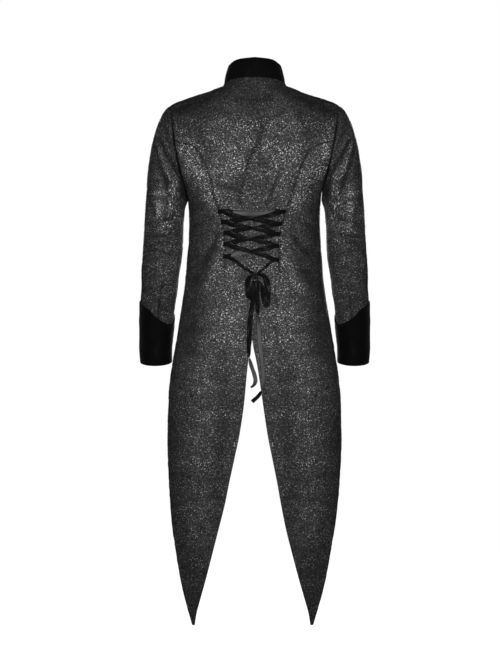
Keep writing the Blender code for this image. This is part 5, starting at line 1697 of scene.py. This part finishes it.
# %% [markdown]
# ## Light and floor
#
# The photograph has a white ground and soft light from the camera's side. One round area light close
# behind the coat lights the middle of the back most, and leaves the sides, the shoulders and the tails'
# tips dimmer. Two weaker ones graze the sides, and two in front keep the coat readable when it is turned
# round. The world is white to the camera and dim to the cloth, or black velvet would look grey.

# %% Light the coat
AIM = Vector((0, 0, -0.55))
LIGHTS = [  # name, place, size, watts
    ("key", (0.0, 1.25, -0.24), 0.5, 17), ("front_left", (0.7, -2.6, 0.1), 1.0, 36),
    ("front_right", (-0.7, -2.6, 0.1), 1.0, 36), ("side_left", (3.2, 0.3, 0.2), 1.2, 9),
    ("side_right", (-3.2, 0.3, 0.2), 1.2, 9),
]
WORLD_SEEN, WORLD_FELT = 1.0, 0.035  # the world's strength to the camera, and to the cloth

for name, place, size, watts in LIGHTS:
    light = bpy.data.lights.new(name, "AREA")
    light.shape, light.size, light.energy = "DISK", size, watts
    lamp = bpy.data.objects.new(name, light)
    lamp.location = place
    lamp.rotation_euler = (AIM - Vector(place)).to_track_quat("-Z", "Y").to_euler()
    lamp.visible_camera = False
    bpy.context.scene.collection.objects.link(lamp)

world = bpy.context.scene.world or bpy.data.worlds.new("studio")
bpy.context.scene.world = world
world.use_nodes = True
sky = world.node_tree
sky.nodes.clear()
mix, shown, rays, felt, seen = (sky.nodes.new("ShaderNode" + kind) for kind in
                                ("MixShader", "OutputWorld", "LightPath", "Background", "Background"))
sky.links.new(rays.outputs["Is Camera Ray"], mix.inputs[0])
for k, (ground, strength) in enumerate(((felt, WORLD_FELT), (seen, WORLD_SEEN)), 1):
    ground.inputs["Color"].default_value = (1, 1, 1, 1)
    ground.inputs["Strength"].default_value = strength
    sky.links.new(ground.outputs[0], mix.inputs[k])
sky.links.new(mix.outputs[0], shown.inputs["Surface"])
bpy.context.scene.view_settings.view_transform = "Standard"
print("lights:", [name for name, *_ in LIGHTS])

# %% Lay the floor
FLOOR_HEIGHT, FLOOR_RADIUS, FLOOR_TONE = -1.47, 3.2, (0.05, 0.05, 0.05, 1)

bpy.ops.mesh.primitive_circle_add(vertices=96, radius=FLOOR_RADIUS, fill_type="NGON",
                                  location=(0, 0, FLOOR_HEIGHT))
floor = bpy.context.object
floor.name = "floor"
pale, _, _ = new_finish("pale_floor", 0.9, Base_Color=FLOOR_TONE, Emission_Color=(1, 1, 1, 1),
                        Emission_Strength=1.0)
floor.data.materials.append(pale)
floor.visible_diffuse = floor.visible_glossy = False

# %% [markdown]
#
# The size each piece of cloth was cut to is measured here on the smooth surfaces, along the cloth.

# %% Measure each piece
for name, grid in cut_sizes.items():
    closed = name.startswith("velvet_cuff")
    ring = np.concatenate([grid, grid[:, :1]], axis=1) if closed else grid
    width, length = run_length(ring, 1)[:, -1].max() * MM, run_length(ring, 0)[-1].max() * MM
    a, b = ring[1:, 1:] - ring[:-1, :-1], ring[1:, :-1] - ring[:-1, 1:]

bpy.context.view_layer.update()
total = sum(len(o.data.polygons) for o in bpy.data.objects if o.type == "MESH" and not o.hide_render)
print("faces in all:", total)
